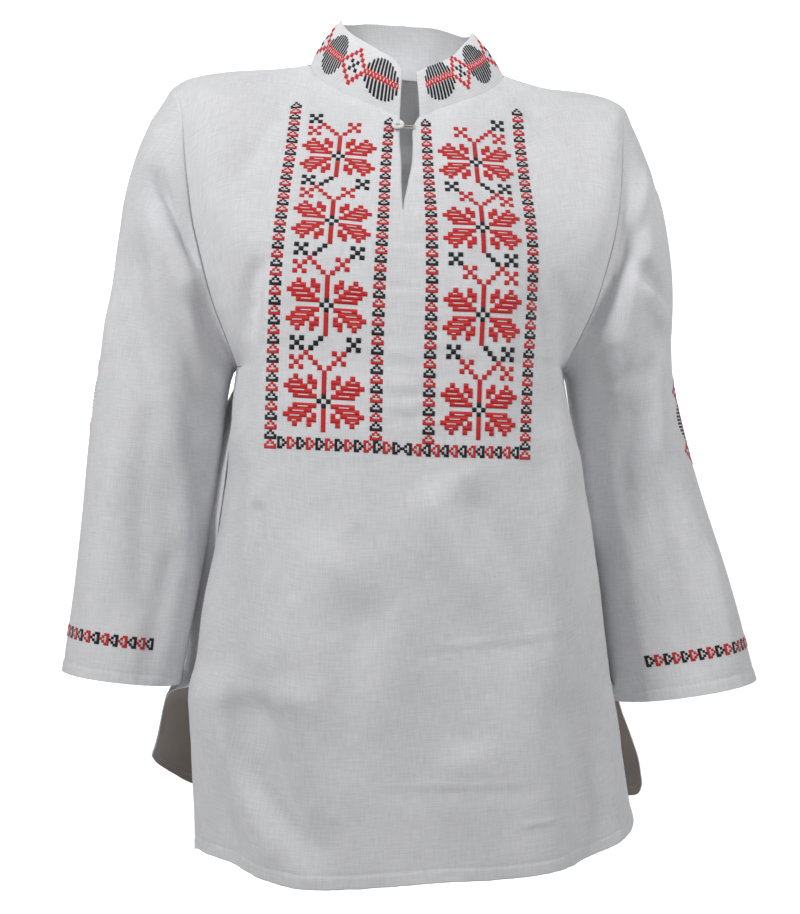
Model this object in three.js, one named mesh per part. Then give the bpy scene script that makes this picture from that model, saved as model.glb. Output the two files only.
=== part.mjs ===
// Embroidered folk blouse with a stand collar, a front slit with one button and
// three-quarter sleeves, filled out as if worn. Every cut piece is a closed wall of cloth.
//
// Frame: millimetres, +Z up, the front faces -Y. Right and left are the wearer's,
// so the right sleeve lies at -X. The origin is the middle of the neck at shoulder height.
import * as THREE from 'three';

// ---------------------------------------------------------------- driving sizes
const WALL = 1.6;             // cloth with its turned seams
const SEAM_GAP = 0.3;         // between two sewn pieces
const FULLNESS = 2.5;         // exponent of the body's cross-sections, 2 is an ellipse
const ARMPIT_Y = -5;          // the armholes' lowest point lies just before the middle
const ARMPIT_Z = -285;
const VENT_TOP_Z = -575;      // the side seams are open below this height
const NECK_S = 0.4;           // share of a half panel that the neckline takes
const NECK_HALF = 91;
const NECK_MIDDLE_X = 5.5;    // the neck stands a little to the left of the body's middle
const SHOULDER_HALF = 212;    // from the neck's middle out to the armhole
const SLIT_ROW = 7;           // the slit ends at this row of the upper front
const UPPER_ROWS = 12;        // rows from the armpit to the shoulder
const VENT_ROWS = 4;
const NECK_COLUMNS = 6;       // columns from the middle to the neck point
const SHOULDER_COLUMNS = 7;   // columns from the neck point to the armhole

// Body from the vents up to the armpits. right and left are half widths, seam is the
// place of the side seams front to back and middle that of the centre line across.
const BODY_LEVELS = [
  { z: -575, right: 191, left: 192, front: -141, back: 110, seam: -22, middle: -11 },
  { z: -540, right: 188, left: 187, front: -141, back: 108, seam: -22, middle: -11 },
  { z: -505, right: 184, left: 183, front: -140, back: 106, seam: -22, middle: -12 },
  { z: -470, right: 178, left: 179, front: -140, back: 104, seam: -22, middle: -12 },
  { z: -437, right: 171, left: 174, front: -140, back: 102, seam: -21, middle: -12 },
  { z: -404, right: 166, left: 169, front: -139, back: 101, seam: -19, middle: -12 },
  { z: -374, right: 162, left: 164, front: -137, back: 100, seam: -16, middle: -12 },
  { z: -345, right: 159, left: 159, front: -135, back: 99, seam: -12, middle: -12 },
  { z: -315, right: 156, left: 154, front: -132, back: 98, seam: -8, middle: -11.5 },
  { z: -285, right: 152, left: 150, front: -129, back: 97, seam: -5, middle: -11 },
];
// Below the vents the two panels part, and each has its own side edges
const FRONT_TAIL = [
  { z: -740, right: 190, left: 212, depth: -142, seam: -32, middle: -11 },
  { z: -690, right: 191, left: 208, depth: -141, seam: -28, middle: -11 },
  { z: -640, right: 192, left: 201, depth: -141, seam: -24, middle: -11 },
  { z: -575, right: 191, left: 192, depth: -141, seam: -22, middle: -11 },
];
const BACK_TAIL = [
  { z: -740, right: 228, left: 238, depth: 120, seam: 32, middle: -11 },
  { z: -690, right: 228, left: 236, depth: 118, seam: 30, middle: -11 },
  { z: -655, right: 225, left: 230, depth: 116, seam: 24, middle: -11 },
  { z: -610, right: 209, left: 209, depth: 113, seam: 2, middle: -11 },
  { z: -575, right: 191, left: 192, depth: 110, seam: -22, middle: -11 },
];
// Hem heights along a panel, s runs from the right side edge (-1) to the left one (1)
const FRONT_HEM = [
  { s: -1, z: -735 }, { s: -0.85, z: -728 }, { s: -0.6, z: -727 }, { s: -0.3, z: -730 },
  { s: 0, z: -729 }, { s: 0.3, z: -724 }, { s: 0.45, z: -722 }, { s: 0.65, z: -715 },
  { s: 0.82, z: -711 }, { s: 0.93, z: -713 }, { s: 1, z: -700 },
];
const BACK_HEM = [
  { s: -1, z: -650 }, { s: -0.9, z: -667 }, { s: -0.75, z: -687 }, { s: -0.6, z: -703 },
  { s: -0.45, z: -712 }, { s: 0, z: -720 }, { s: 0.5, z: -712 }, { s: 0.75, z: -704 },
  { s: 0.9, z: -697 }, { s: 1, z: -684 },
];
// Ridge of the shoulders, out from the middle, with its height on each side.
// Inside the neck it is only the line that the neckline is cut from.
const SHOULDER_RIDGE = [
  { out: 0, right: 18, left: 18 },
  { out: 45, right: 13, left: 12 },
  { out: 91, right: -1, left: -7 },
  { out: 113, right: -5, left: -14 },
  { out: 135, right: -7, left: -19 },
  { out: 160, right: -9, left: -21 },
  { out: 183, right: -13, left: -24 },
  { out: 200, right: -18, left: -30 },
  { out: 212, right: -26, left: -38 },
];
// Armholes, by share of the way up from the armpit: out from the middle
const ARMHOLE = [
  { up: 0, out: 151 }, { up: 0.1, out: 161 }, { up: 0.22, out: 173 }, { up: 0.36, out: 183 },
  { up: 0.5, out: 191 }, { up: 0.65, out: 196 }, { up: 0.85, out: 201 }, { up: 0.93, out: 205 },
  { up: 1, out: 212 },
];
const ARMHOLE_FRONT = 55;     // reach of the armhole to the front and back
const ARMHOLE_BACK = 60;
// Edges of the slit by height, across from the centre line
const SLIT_EDGES = [
  { z: -200, right: 0, left: 0 }, { z: -154, right: -4.5, left: -4.5 },
  { z: -129, right: -6.4, left: -0.8 }, { z: -109, right: -6.5, left: 2.7 },
  { z: -90, right: -7.8, left: 3.7 }, { z: -77, right: -8.2, left: 3.7 },
  { z: -58, right: -8.5, left: 7.8 },
];
// Sleeve sections: the outer and the inner line seen from the front, the middle's
// place front to back, and half the depth. The first section is the armhole itself.
const SLEEVE_RIGHT = [
  { outX: 230, outZ: -59, inX: 156, inZ: -289, y: 0, reach: 60 },
  { outX: 243, outZ: -90, inX: 159, inZ: -297, y: 2, reach: 62 },
  { outX: 254, outZ: -130, inX: 161, inZ: -307, y: 4, reach: 62 },
  { outX: 261, outZ: -174, inX: 163, inZ: -320, y: 7, reach: 60 },
  { outX: 268, outZ: -215, inX: 165, inZ: -336, y: 10, reach: 57 },
  { outX: 276, outZ: -255, inX: 167, inZ: -357, y: 12, reach: 54 },
  { outX: 284, outZ: -304, inX: 170, inZ: -385, y: 13, reach: 52 },
  { outX: 291, outZ: -362, inX: 174, inZ: -419, y: 12, reach: 50 },
  { outX: 296, outZ: -420, inX: 182, inZ: -457, y: 8, reach: 48 },
  { outX: 303, outZ: -490, inX: 193, inZ: -514, y: 1, reach: 45 },
  { outX: 312, outZ: -561, inX: 205, inZ: -575, y: -8, reach: 42 },
];
const SLEEVE_LEFT = [
  { outX: 226, outZ: -68, inX: 155, inZ: -289, y: 0, reach: 60 },
  { outX: 238, outZ: -98, inX: 158, inZ: -296, y: 2, reach: 62 },
  { outX: 249, outZ: -132, inX: 160, inZ: -306, y: 4, reach: 62 },
  { outX: 257, outZ: -176, inX: 162, inZ: -319, y: 7, reach: 60 },
  { outX: 257, outZ: -216, inX: 165, inZ: -336, y: 10, reach: 57 },
  { outX: 254, outZ: -256, inX: 169, inZ: -357, y: 12, reach: 54 },
  { outX: 256, outZ: -298, inX: 173, inZ: -385, y: 13, reach: 52 },
  { outX: 271, outZ: -354, inX: 178, inZ: -419, y: 12, reach: 51 },
  { outX: 289, outZ: -415, inX: 184, inZ: -457, y: 8, reach: 49 },
  { outX: 313, outZ: -494, inX: 193, inZ: -519, y: 1, reach: 46 },
  { outX: 333, outZ: -577, inX: 202, inZ: -586, y: -8, reach: 43 },
];
const CAP_ROWS = 5;           // sections over which the armhole's form fades

// Stand collar, by share of the way round from the right front edge over the back:
// the height of its upper edge over the neckline
const COLLAR_HEIGHT = [
  { round: 0, high: 38 }, { round: 0.025, high: 50 }, { round: 0.07, high: 56 },
  { round: 0.17, high: 52 }, { round: 0.25, high: 44 }, { round: 0.35, high: 49 },
  { round: 0.5, high: 53 }, { round: 0.65, high: 47 }, { round: 0.75, high: 37 },
  { round: 0.82, high: 39 }, { round: 0.92, high: 41 }, { round: 0.98, high: 40 },
  { round: 1, high: 35 },
];
const COLLAR_TOP_X = 0.68;    // the collar leans in: width and depth of its upper edge
const COLLAR_TOP_Y = 0.78;
const COLLAR_MIDDLE_Y = 3;
const COLLAR_ROWS = 4;
const COLLAR_BULGE = 2.5;
const COLLAR_MITRE = 12;      // how far the lower edge's wall rises on its way in

const BUTTON_RADIUS = 5.7;
const BUTTON_THICK = 2.6;
const BUTTON_AT = { x: -9, z: -73 };   // on the right edge of the slit, below the collar
const SHANK_RADIUS = 0.9;
const SHANK_LENGTH = 2.0;
const LOOP_CORD = 1.1;
const LOOP_FAR_X = 7;         // where the loop is sewn to the left edge

// Largest folds: a soft ridge (high > 0) or trough along a line in the panel seen from the front
const FRONT_FOLDS = [
  { x0: 131, z0: -170, x1: 154, z1: -350, wide: 15, high: -6 },
  { x0: 118, z0: -190, x1: 143, z1: -420, wide: 13, high: 4 },
  { x0: -134, z0: -180, x1: -146, z1: -330, wide: 13, high: -5 },
  { x0: -150, z0: -420, x1: -160, z1: -760, wide: 22, high: -9 },
  { x0: -85, z0: -480, x1: -95, z1: -760, wide: 34, high: 5 },
  { x0: 10, z0: -520, x1: 12, z1: -760, wide: 36, high: -4 },
  { x0: 88, z0: -500, x1: 100, z1: -760, wide: 30, high: 5 },
  { x0: 148, z0: -430, x1: 160, z1: -760, wide: 20, high: -7 },
];
const BACK_FOLDS = [
  { x0: -120, z0: -260, x1: -138, z1: -760, wide: 24, high: -7 },
  { x0: -60, z0: -330, x1: -72, z1: -760, wide: 26, high: 6 },
  { x0: 0, z0: -380, x1: 4, z1: -760, wide: 28, high: -6 },
  { x0: 64, z0: -330, x1: 76, z1: -760, wide: 26, high: 6 },
  { x0: 122, z0: -260, x1: 142, z1: -760, wide: 24, high: -7 },
];
// Sleeve folds: angle round the sleeve in turns (0 outside, 0.25 front, 0.5 inside)
// and share of the way down
const SLEEVE_FOLDS = [
  { a0: 0.13, d0: 0.16, a1: 0.33, d1: 0.5, wide: 0.045, high: 5 },
  { a0: 0.22, d0: 0.12, a1: 0.4, d1: 0.42, wide: 0.045, high: -5 },
  { a0: 0.08, d0: 0.5, a1: 0.12, d1: 0.98, wide: 0.055, high: 3.5 },
  { a0: 0.21, d0: 0.5, a1: 0.22, d1: 1.0, wide: 0.05, high: -4 },
  { a0: 0.62, d0: 0.3, a1: 0.72, d1: 0.95, wide: 0.06, high: -4 },
  { a0: 0.86, d0: 0.16, a1: 0.7, d1: 0.5, wide: 0.05, high: 4 },
];

// ---------------------------------------------------------------- small tools
const mix = (a, b, t) => a + (b - a) * t;
const ease = (t) => { const c = Math.min(1, Math.max(0, t)); return c * c * (3 - 2 * c); };

// Value of a table's column at a key, smooth through the rows (Catmull-Rom on uneven steps)
function read(rows, key, at, column) {
  const last = rows.length - 1;
  const up = rows[0][key] < rows[last][key] ? rows : [...rows].reverse();
  if (at <= up[0][key]) return up[0][column];
  if (at >= up[last][key]) return up[last][column];
  let i = 0;
  while (up[i + 1][key] < at) i += 1;
  const slope = (j) => {
    const a = up[Math.max(0, j - 1)];
    const b = up[Math.min(last, j + 1)];
    return (b[column] - a[column]) / (b[key] - a[key]);
  };
  const step = up[i + 1][key] - up[i][key];
  const t = (at - up[i][key]) / step;
  const h = t * t * (3 - 2 * t);
  return mix(up[i][column], up[i + 1][column], h)
    + step * t * (1 - t) * ((1 - t) * slope(i) - t * slope(i + 1));
}

// A fold rises over its first 40 % and dies away just past its end
const FOLD_RISE = 2.5;
const FOLD_END = 1.15;
const FOLD_FALL = 5;
// Height of the folds at a point of a panel, seen flat
function foldHeight(folds, x, z) {
  let sum = 0;
  for (const f of folds) {
    const dx = f.x1 - f.x0;
    const dz = f.z1 - f.z0;
    const along = ((x - f.x0) * dx + (z - f.z0) * dz) / (dx * dx + dz * dz);
    const near = Math.min(1, Math.max(0, along));
    const off = Math.hypot(x - f.x0 - dx * near, z - f.z0 - dz * near) / f.wide;
    sum += f.high * Math.exp(-off * off) * ease(along * FOLD_RISE)
      * ease((FOLD_END - along) * FOLD_FALL);
  }
  return sum;
}

// ---------------------------------------------------------------- cloth walls
// A patch is a list of outer points, the faces between them (each a loop of 3 or 4
// indices, anticlockwise seen from outside) and, for chosen points, the direction
// in which the wall goes inwards. The wall is closed all round its open edges.
function clothWall({ points, faces, inward = new Map() }) {
  const normals = points.map(() => new THREE.Vector3());
  for (const face of faces) {
    const a = points[face[0]];
    const area = new THREE.Vector3();
    for (let i = 1; i + 1 < face.length; i += 1) {
      const u = points[face[i]].clone().sub(a);
      area.add(u.cross(points[face[i + 1]].clone().sub(a)));
    }
    face.forEach((index) => normals[index].add(area));
  }
  const inner = points.map((p, i) => {
    const way = inward.get(i) ?? normals[i].clone().normalize().negate();
    return p.clone().addScaledVector(way, WALL);
  });
  const all = [...points, ...inner];
  const n = points.length;
  const edges = new Set();
  for (const face of faces) {
    face.forEach((a, i) => edges.add(`${a},${face[(i + 1) % face.length]}`));
  }
  const loops = [...faces, ...faces.map((face) => face.map((i) => i + n).reverse())];
  for (const edge of edges) {
    const [a, b] = edge.split(',').map(Number);
    if (!edges.has(`${b},${a}`)) loops.push([b, a, a + n, b + n]);
  }
  return facets(all, loops);
}

// Geometry from points and loops of indices
function facets(points, loops) {
  const triangles = [];
  for (const loop of loops) {
    for (let i = 1; i + 1 < loop.length; i += 1) triangles.push(loop[0], loop[i], loop[i + 1]);
  }
  const geometry = new THREE.BufferGeometry();
  const flat = points.flatMap((p) => [p.x, p.y, p.z]);
  geometry.setAttribute('position', new THREE.Float32BufferAttribute(flat, 3));
  geometry.setIndex(triangles);
  geometry.computeVertexNormals();
  return geometry;
}

// Quads of a grid of indices, rows upwards and columns to +X seen from outside
function gridFaces(rows) {
  const faces = [];
  for (let r = 0; r + 1 < rows.length; r += 1) {
    for (let c = 0; c + 1 < rows[r].length; c += 1) {
      faces.push([rows[r][c], rows[r][c + 1], rows[r + 1][c + 1], rows[r + 1][c]]);
    }
  }
  return faces;
}

// ---------------------------------------------------------------- body surfaces
// s runs from the right side (-1) over the middle (0) to the left side (1)
const COLUMNS = [];
for (let i = -SHOULDER_COLUMNS; i < 0; i += 1) {
  COLUMNS.push(-NECK_S + (1 - NECK_S) * (i / SHOULDER_COLUMNS));
}
for (let i = -NECK_COLUMNS; i <= NECK_COLUMNS; i += 1) COLUMNS.push(NECK_S * (i / NECK_COLUMNS));
for (let i = 1; i <= SHOULDER_COLUMNS; i += 1) {
  COLUMNS.push(NECK_S + (1 - NECK_S) * (i / SHOULDER_COLUMNS));
}
const SIDE_HEIGHTS = BODY_LEVELS.map((level) => level.z);

// A level of a panel: half widths, depth and the place of the side edges
function levelAt(panel, z) {
  if (z < VENT_TOP_Z) {
    const tail = panel === 'front' ? FRONT_TAIL : BACK_TAIL;
    const cell = (column) => read(tail, 'z', z, column);
    return { right: cell('right'), left: cell('left'), depth: cell('depth'), seam: cell('seam'),
      middle: cell('middle') };
  }
  const body = (column) => read(BODY_LEVELS, 'z', z, column);
  return { right: body('right'), left: body('left'), depth: body(panel), seam: body('seam'),
    middle: body('middle') };
}

// Cross-section of a panel at a height: a superellipse in polar form
function section(panel, s, z) {
  const { right, left, depth, seam, middle } = levelAt(panel, z);
  const angle = Math.abs(s) * Math.PI / 2;
  const across = Math.sin(angle);
  const along = Math.max(0, Math.cos(angle));
  const radius = (across ** FULLNESS + along ** FULLNESS) ** (-1 / FULLNESS);
  const half = s < 0 ? -right : left;
  return new THREE.Vector3(mix(middle, half, radius * across), mix(seam, depth, radius * along), z);
}

// Shoulder ridge, with the line that the neckline is cut from
function ridge(s) {
  const a = Math.abs(s);
  const out = a < NECK_S
    ? NECK_HALF * (a / NECK_S)
    : mix(NECK_HALF, SHOULDER_HALF, (a - NECK_S) / (1 - NECK_S));
  const side = s < 0 ? 'right' : 'left';
  const shift = NECK_MIDDLE_X * Math.min(1, (1 - a) / (1 - NECK_S));
  return new THREE.Vector3(Math.sign(s) * out + shift, 0, read(SHOULDER_RIDGE, 'out', out, side));
}

// A point of the armhole at a share t of the way round from the armpit to the shoulder
function armhole(side, panel, t) {
  const tip = ridge(side);
  const up = (1 - Math.cos(Math.PI * t)) / 2;
  const reach = panel === 'front' ? -ARMHOLE_FRONT : ARMHOLE_BACK;
  const out = read(ARMHOLE, 'up', up, 'out') + (side < 0 ? 1 : -1) * (1 - up);
  return new THREE.Vector3(side * out, ARMPIT_Y * (1 - t) + reach * Math.sin(Math.PI * t),
    mix(ARMPIT_Z, tip.z, up));
}

// Share of the way from the bust line to the ridge in depth: the front hangs plumb to
// the bust and slopes back above it, the back rounds over the shoulder blades
const BUST_T = 0.42;
const BUST_SOFT = 0.1;
const BACK_ROUND = 3;
function slopeBack(panel, t) {
  if (panel === 'back') return 1 - (1 - t ** BACK_ROUND) ** (1 / BACK_ROUND);
  const soft = (x) => BUST_SOFT * Math.log(1 + Math.exp((x - BUST_T) / BUST_SOFT));
  return (soft(t) - soft(0)) / (soft(1) - soft(0));
}

// Upper panel: t runs from the armpit height to the ridge. Near the side the surface
// is drawn to the armhole.
const ARMHOLE_PULL = 0.42;
function upperSurface(panel, s, t) {
  const low = section(panel, s, ARMPIT_Z);
  const top = ridge(s);
  const depth = slopeBack(panel, t);
  const point = new THREE.Vector3(mix(low.x, top.x, t), mix(low.y, top.y, depth), mix(low.z, top.z, t));
  const side = s < 0 ? -1 : 1;
  const edgeLow = section(panel, side, ARMPIT_Z);
  const edgeTop = ridge(side);
  const plain = new THREE.Vector3(mix(edgeLow.x, edgeTop.x, t), mix(edgeLow.y, edgeTop.y, depth),
    mix(edgeLow.z, edgeTop.z, t));
  const pull = ease((Math.abs(s) - ARMHOLE_PULL) / (1 - ARMHOLE_PULL));
  return point.addScaledVector(armhole(side, panel, t).sub(plain), pull);
}

// The neckline, as the share t at which it cuts a column
const FRONT_NECK_DROP = 0.257;
const BACK_NECK_DROP = 0.06;
function necklineT(panel, s) {
  const a = Math.abs(s) / NECK_S;
  if (a >= 1) return 1;
  const drop = panel === 'front' ? FRONT_NECK_DROP : BACK_NECK_DROP;
  return 1 - drop * Math.sqrt(1 - a * a);
}

function surface(panel, s, row) {
  if (row < 0) return folded(panel, section, s, lowerHeight(panel, s, row));
  return folded(panel, upperSurface, s, (row / UPPER_ROWS) * necklineT(panel, s));
}

// Height of a lower row, counted down from the armpit (row -1 is the first below it)
function lowerHeight(panel, s, row) {
  const heights = SIDE_HEIGHTS.length - 1;
  if (-row <= heights) return SIDE_HEIGHTS[heights + row];
  const hem = panel === 'front' ? read(FRONT_HEM, 's', s, 'z') : read(BACK_HEM, 's', s, 'z');
  return mix(VENT_TOP_Z, hem, (-row - heights) / VENT_ROWS);
}

// A surface point moved out by the folds, which die away at the side seams and armholes
const STEP = 1e-3;
function folded(panel, shape, s, v) {
  const folds = panel === 'front' ? FRONT_FOLDS : BACK_FOLDS;
  const point = shape(panel, s, v);
  const a = shape(panel, Math.max(-1, s - STEP), v);
  const b = shape(panel, Math.min(1, s + STEP), v);
  const out = new THREE.Vector3(b.y - a.y, a.x - b.x, 0).normalize();
  if (panel === 'back') out.negate();
  const calm = 1 - ease((Math.abs(s) - 0.8) / 0.18);
  return point.addScaledVector(out, calm * foldHeight(folds, point.x, point.z));
}

// ---------------------------------------------------------------- front and back
const LOWER_ROWS = SIDE_HEIGHTS.length - 1 + VENT_ROWS;

function panelPatch(panel) {
  const points = [];
  const inward = new Map();
  const rows = [];
  const add = (p) => points.push(p) - 1;
  const middle = NECK_COLUMNS + SHOULDER_COLUMNS;
  for (let row = -LOWER_ROWS; row <= UPPER_ROWS; row += 1) {
    const line = [];
    COLUMNS.forEach((s, c) => {
      const p = surface(panel, s, row);
      const edge = c === 0 || c === COLUMNS.length - 1;
      if (edge) {
        const side = Math.sign(s);
        const seam = panel === 'front' ? -1 : 1;
        // the side seam and the shoulder point keep half the gap on each side
        if (row <= 0 || row === UPPER_ROWS) p.y += seam * SEAM_GAP / 2;
        if (row > 0) p.x -= side * SEAM_GAP / 2;
        const index = add(p);
        const way = row <= 0 ? new THREE.Vector3(-side, 0, 0) : armholeInward(side, panel, row);
        inward.set(index, way);
        line.push([index]);
      } else if (row === UPPER_ROWS && Math.abs(s) >= NECK_S - STEP) {
        p.y += (panel === 'front' ? -1 : 1) * SEAM_GAP / 2;
        const index = add(p);
        inward.set(index, SHOULDER_INWARD);
        line.push([index]);
      } else if (panel === 'front' && c === middle && row > 0) {
        const ends = row > SLIT_ROW ? ['right', 'left'] : ['right'];
        line.push(ends.map((end) => add(slitEdge(p, end))));
      } else {
        line.push([add(p)]);
      }
    });
    rows.push(line);
  }
  const right = rows.map((line) => line.slice(0, middle + 1).map((cell) => cell[0]));
  const left = rows.map((line) => line.slice(middle).map((cell) => cell[cell.length - 1]));
  const faces = [...gridFaces(right), ...gridFaces(left)];
  if (panel === 'back') faces.forEach((face) => face.reverse());
  return { points, faces, inward };
}

// A point of the centre line moved to an edge of the slit
function slitEdge(p, end) {
  return p.clone().setX(p.x + read(SLIT_EDGES, 'z', p.z, end));
}

// At the shoulder seam and round the armhole two pieces share one mitre
const SHOULDER_INWARD = new THREE.Vector3(0, 0.35, -1).normalize();
const MITRE_UNDER = { across: 0.9, up: 0.35 };     // at the armpit
const MITRE_OVER = { across: 0.25, up: -1 };       // at the shoulder point
const MITRE_DEPTH = 1.1;                           // halfway up, to the front or back
function armholeInward(side, panel, row) {
  const t = row / UPPER_ROWS;
  const facing = panel === 'front' ? 1 : -1;
  const over = ease(t);
  return new THREE.Vector3(-side * mix(MITRE_UNDER.across, MITRE_OVER.across, over),
    facing * Math.sin(Math.PI * t) * MITRE_DEPTH, mix(MITRE_UNDER.up, MITRE_OVER.up, over)).normalize();
}

// ---------------------------------------------------------------- sleeves
// Columns run round from the armpit over the back to the shoulder point and
// down the front, so that they meet the rows of the body's armhole.
const ROUND = 2 * UPPER_ROWS;

function sleevePoint(side, sections, row, column) {
  const angle = 2 * Math.PI * column / ROUND;
  const half = column <= UPPER_ROWS ? 'back' : 'front';
  const t = column <= UPPER_ROWS ? column / UPPER_ROWS : 2 - column / UPPER_ROWS;
  const start = armhole(side, half, t);
  if (row === 0) return start.setX(start.x + side * SEAM_GAP / 2);
  const ring = (at) => {
    const c = Math.cos(angle);
    return new THREE.Vector3(side * mix(at.outX, at.inX, (1 + c) / 2),
      at.y + at.reach * Math.sin(angle), mix(at.outZ, at.inZ, (1 + c) / 2));
  };
  const tip = ridge(side);
  const plain = ring({ outX: side * tip.x, outZ: tip.z, inX: read(ARMHOLE, 'up', 0, 'out'),
    inZ: ARMPIT_Z, y: 0, reach: ARMHOLE_BACK });
  const fade = Math.max(0, 1 - row / CAP_ROWS) ** 2;
  const point = ring(sections[row - 1]);
  point.x += (start.x - plain.x) * fade;
  const out = new THREE.Vector3(-side * Math.cos(angle), Math.sin(angle), 0);
  return point.addScaledVector(out, (1 - fade) * foldOnSleeve(column, row / sections.length));
}

// Fold height on a sleeve, with the angle in turns from the outer line over the front
const SLEEVE_FOLD_RISE = 3;
const SLEEVE_FOLD_END = 1.1;
function foldOnSleeve(column, down) {
  const turns = ((0.5 - column / ROUND) % 1 + 1) % 1;
  let sum = 0;
  for (const f of SLEEVE_FOLDS) {
    const along = (down - f.d0) / (f.d1 - f.d0);
    const at = mix(f.a0, f.a1, Math.min(1, Math.max(0, along)));
    let off = Math.abs(turns - at);
    off = Math.min(off, 1 - off) / f.wide;
    sum += f.high * Math.exp(-off * off) * ease(along * SLEEVE_FOLD_RISE)
      * ease((SLEEVE_FOLD_END - along) * SLEEVE_FOLD_RISE);
  }
  return sum;
}

function sleevePatch(side, sections) {
  const points = [];
  const inward = new Map();
  const rows = [];
  for (let row = 0; row <= sections.length; row += 1) {
    const line = [];
    for (let column = 0; column < ROUND; column += 1) {
      const index = points.push(sleevePoint(side, sections, row, column)) - 1;
      if (row === 0) inward.set(index, sleeveMitre(side, column));
      line.push(index);
    }
    rows.push([...line, line[0]]);
  }
  const faces = gridFaces(rows);
  if (side > 0) faces.forEach((face) => face.reverse());
  return { points, faces, inward };
}

const SLEEVE_MITRE = { across: 0.25, up: 1, share: 2.2 };
function sleeveMitre(side, column) {
  const half = column <= UPPER_ROWS ? 'back' : 'front';
  const t = column <= UPPER_ROWS ? column / UPPER_ROWS : 2 - column / UPPER_ROWS;
  const body = armholeInward(side, half, t * UPPER_ROWS);
  // under the arm the sleeve's wall turns away from the body's
  const under = 1 - ease(t * SLEEVE_MITRE.share);
  return new THREE.Vector3(mix(body.x, side * SLEEVE_MITRE.across, under), body.y,
    mix(body.z, SLEEVE_MITRE.up, under)).normalize();
}

// ---------------------------------------------------------------- collar
// The collar's lower edge follows the neckline of both panels from the right
// front edge over the back to the left front edge.
function necklinePoints() {
  const inNeck = COLUMNS.filter((s) => Math.abs(s) <= NECK_S + STEP);
  const front = (s) => surface('front', s, UPPER_ROWS);
  const back = (s) => surface('back', s, UPPER_ROWS);
  const rightFront = inNeck.filter((s) => s < -STEP).reverse().map(front);
  const leftFront = inNeck.filter((s) => s > STEP).reverse().map(front);
  const line = [slitEdge(front(0), 'right'), ...rightFront];
  inNeck.slice(1, -1).forEach((s) => line.push(back(s)));
  return [...line, ...leftFront, slitEdge(front(0), 'left')];
}

function collarPatch() {
  const base = necklinePoints();
  const lengths = [0];
  base.forEach((p, i) => { if (i > 0) lengths.push(lengths[i - 1] + p.distanceTo(base[i - 1])); });
  const total = lengths[lengths.length - 1];
  const points = [];
  const rows = [];
  for (let row = 0; row <= COLLAR_ROWS; row += 1) {
    const up = row / COLLAR_ROWS;
    rows.push(base.map((p, i) => {
      const high = read(COLLAR_HEIGHT, 'round', lengths[i] / total, 'high');
      const top = new THREE.Vector3(mix(NECK_MIDDLE_X, p.x, COLLAR_TOP_X),
        mix(COLLAR_MIDDLE_Y, p.y, COLLAR_TOP_Y), p.z + high);
      const lift = top.clone().sub(p).normalize().multiplyScalar(SEAM_GAP * 1.5);
      const out = new THREE.Vector3(p.x - NECK_MIDDLE_X, p.y - COLLAR_MIDDLE_Y, 0).normalize();
      const at = p.clone().add(lift).lerp(top, up);
      return points.push(at.addScaledVector(out, COLLAR_BULGE * Math.sin(Math.PI * up))) - 1;
    }));
  }
  const faces = gridFaces(rows);
  faces.forEach((face) => face.reverse());
  const inward = new Map();
  rows[0].forEach((index) => {
    const p = points[index];
    inward.set(index, new THREE.Vector3(NECK_MIDDLE_X - p.x, COLLAR_MIDDLE_Y - p.y, COLLAR_MITRE)
      .normalize());
  });
  return { points, faces, inward };
}

// ---------------------------------------------------------------- button and loop
// Where the front lies at a place beside the slit, with its outward direction, found
// by stepping along the panel at about its own width and height for each whole share
const PANEL_SPAN = 230;
const PANEL_RISE = 300;
const SEARCH_STEPS = 40;
function onFront(x, z) {
  const at = (s, t) => folded('front', upperSurface, s, t);
  let s = x / PANEL_SPAN;
  let t = 0.5;
  for (let i = 0; i < SEARCH_STEPS; i += 1) {
    const p = at(s, t);
    s += (x - p.x) / PANEL_SPAN;
    t += (z - p.z) / PANEL_RISE;
  }
  const point = at(s, t);
  const across = at(s + STEP, t).sub(at(s - STEP, t));
  const up = at(s, t + STEP).sub(at(s, t - STEP));
  return { point, out: across.cross(up).normalize() };
}

// Round button with a dished face: a closed lathe profile
function buttonGeometry() {
  const r = BUTTON_RADIUS;
  const h = BUTTON_THICK;
  const profile = [[0, 0], [r * 0.8, 0], [r, h * 0.4], [r, h * 0.75], [r * 0.86, h], [r * 0.68, h],
    [r * 0.56, h * 0.72], [0, h * 0.66]].map(([x, y]) => new THREE.Vector2(x, y));
  return new THREE.LatheGeometry(profile, 24);
}

// The loop: a thin cord from the slit's left edge round the button's shank and back,
// through spots given across and up from the shank
function loopGeometry(centre, out) {
  const across = new THREE.Vector3(1, 0, 0);
  const up = out.clone().cross(across).normalize();
  const reach = LOOP_FAR_X - BUTTON_AT.x;
  const spots = [[reach, 1.5], [reach * 0.6, 1.7], [1.5, 2.1], [-0.9, 1.6], [-1.9, 0], [-0.9, -1.6],
    [1.5, -2.1], [reach * 0.6, -1.7], [reach, -1.5]];
  const curve = new THREE.CatmullRomCurve3(spots.map(([x, y]) => centre.clone()
    .addScaledVector(across, x).addScaledVector(up, y)));
  const round = new THREE.Shape();
  round.absarc(0, 0, LOOP_CORD / 2, 0, 2 * Math.PI);
  return new THREE.ExtrudeGeometry(round, { extrudePath: curve, steps: 32, curveSegments: 4 });
}

// ---------------------------------------------------------------- assembly
const cotton = new THREE.MeshStandardMaterial({ color: 0xe9ebee, roughness: 0.9, metalness: 0 });
const pearl = new THREE.MeshStandardMaterial({ color: 0xf2efe8, roughness: 0.3, metalness: 0 });
const cord = new THREE.MeshStandardMaterial({ color: 0xe6dcc8, roughness: 0.8, metalness: 0 });

const blouse = new THREE.Group();
function add(name, geometry, material) {
  const mesh = new THREE.Mesh(geometry, material);
  mesh.name = name;
  blouse.add(mesh);
  return mesh;
}

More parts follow.
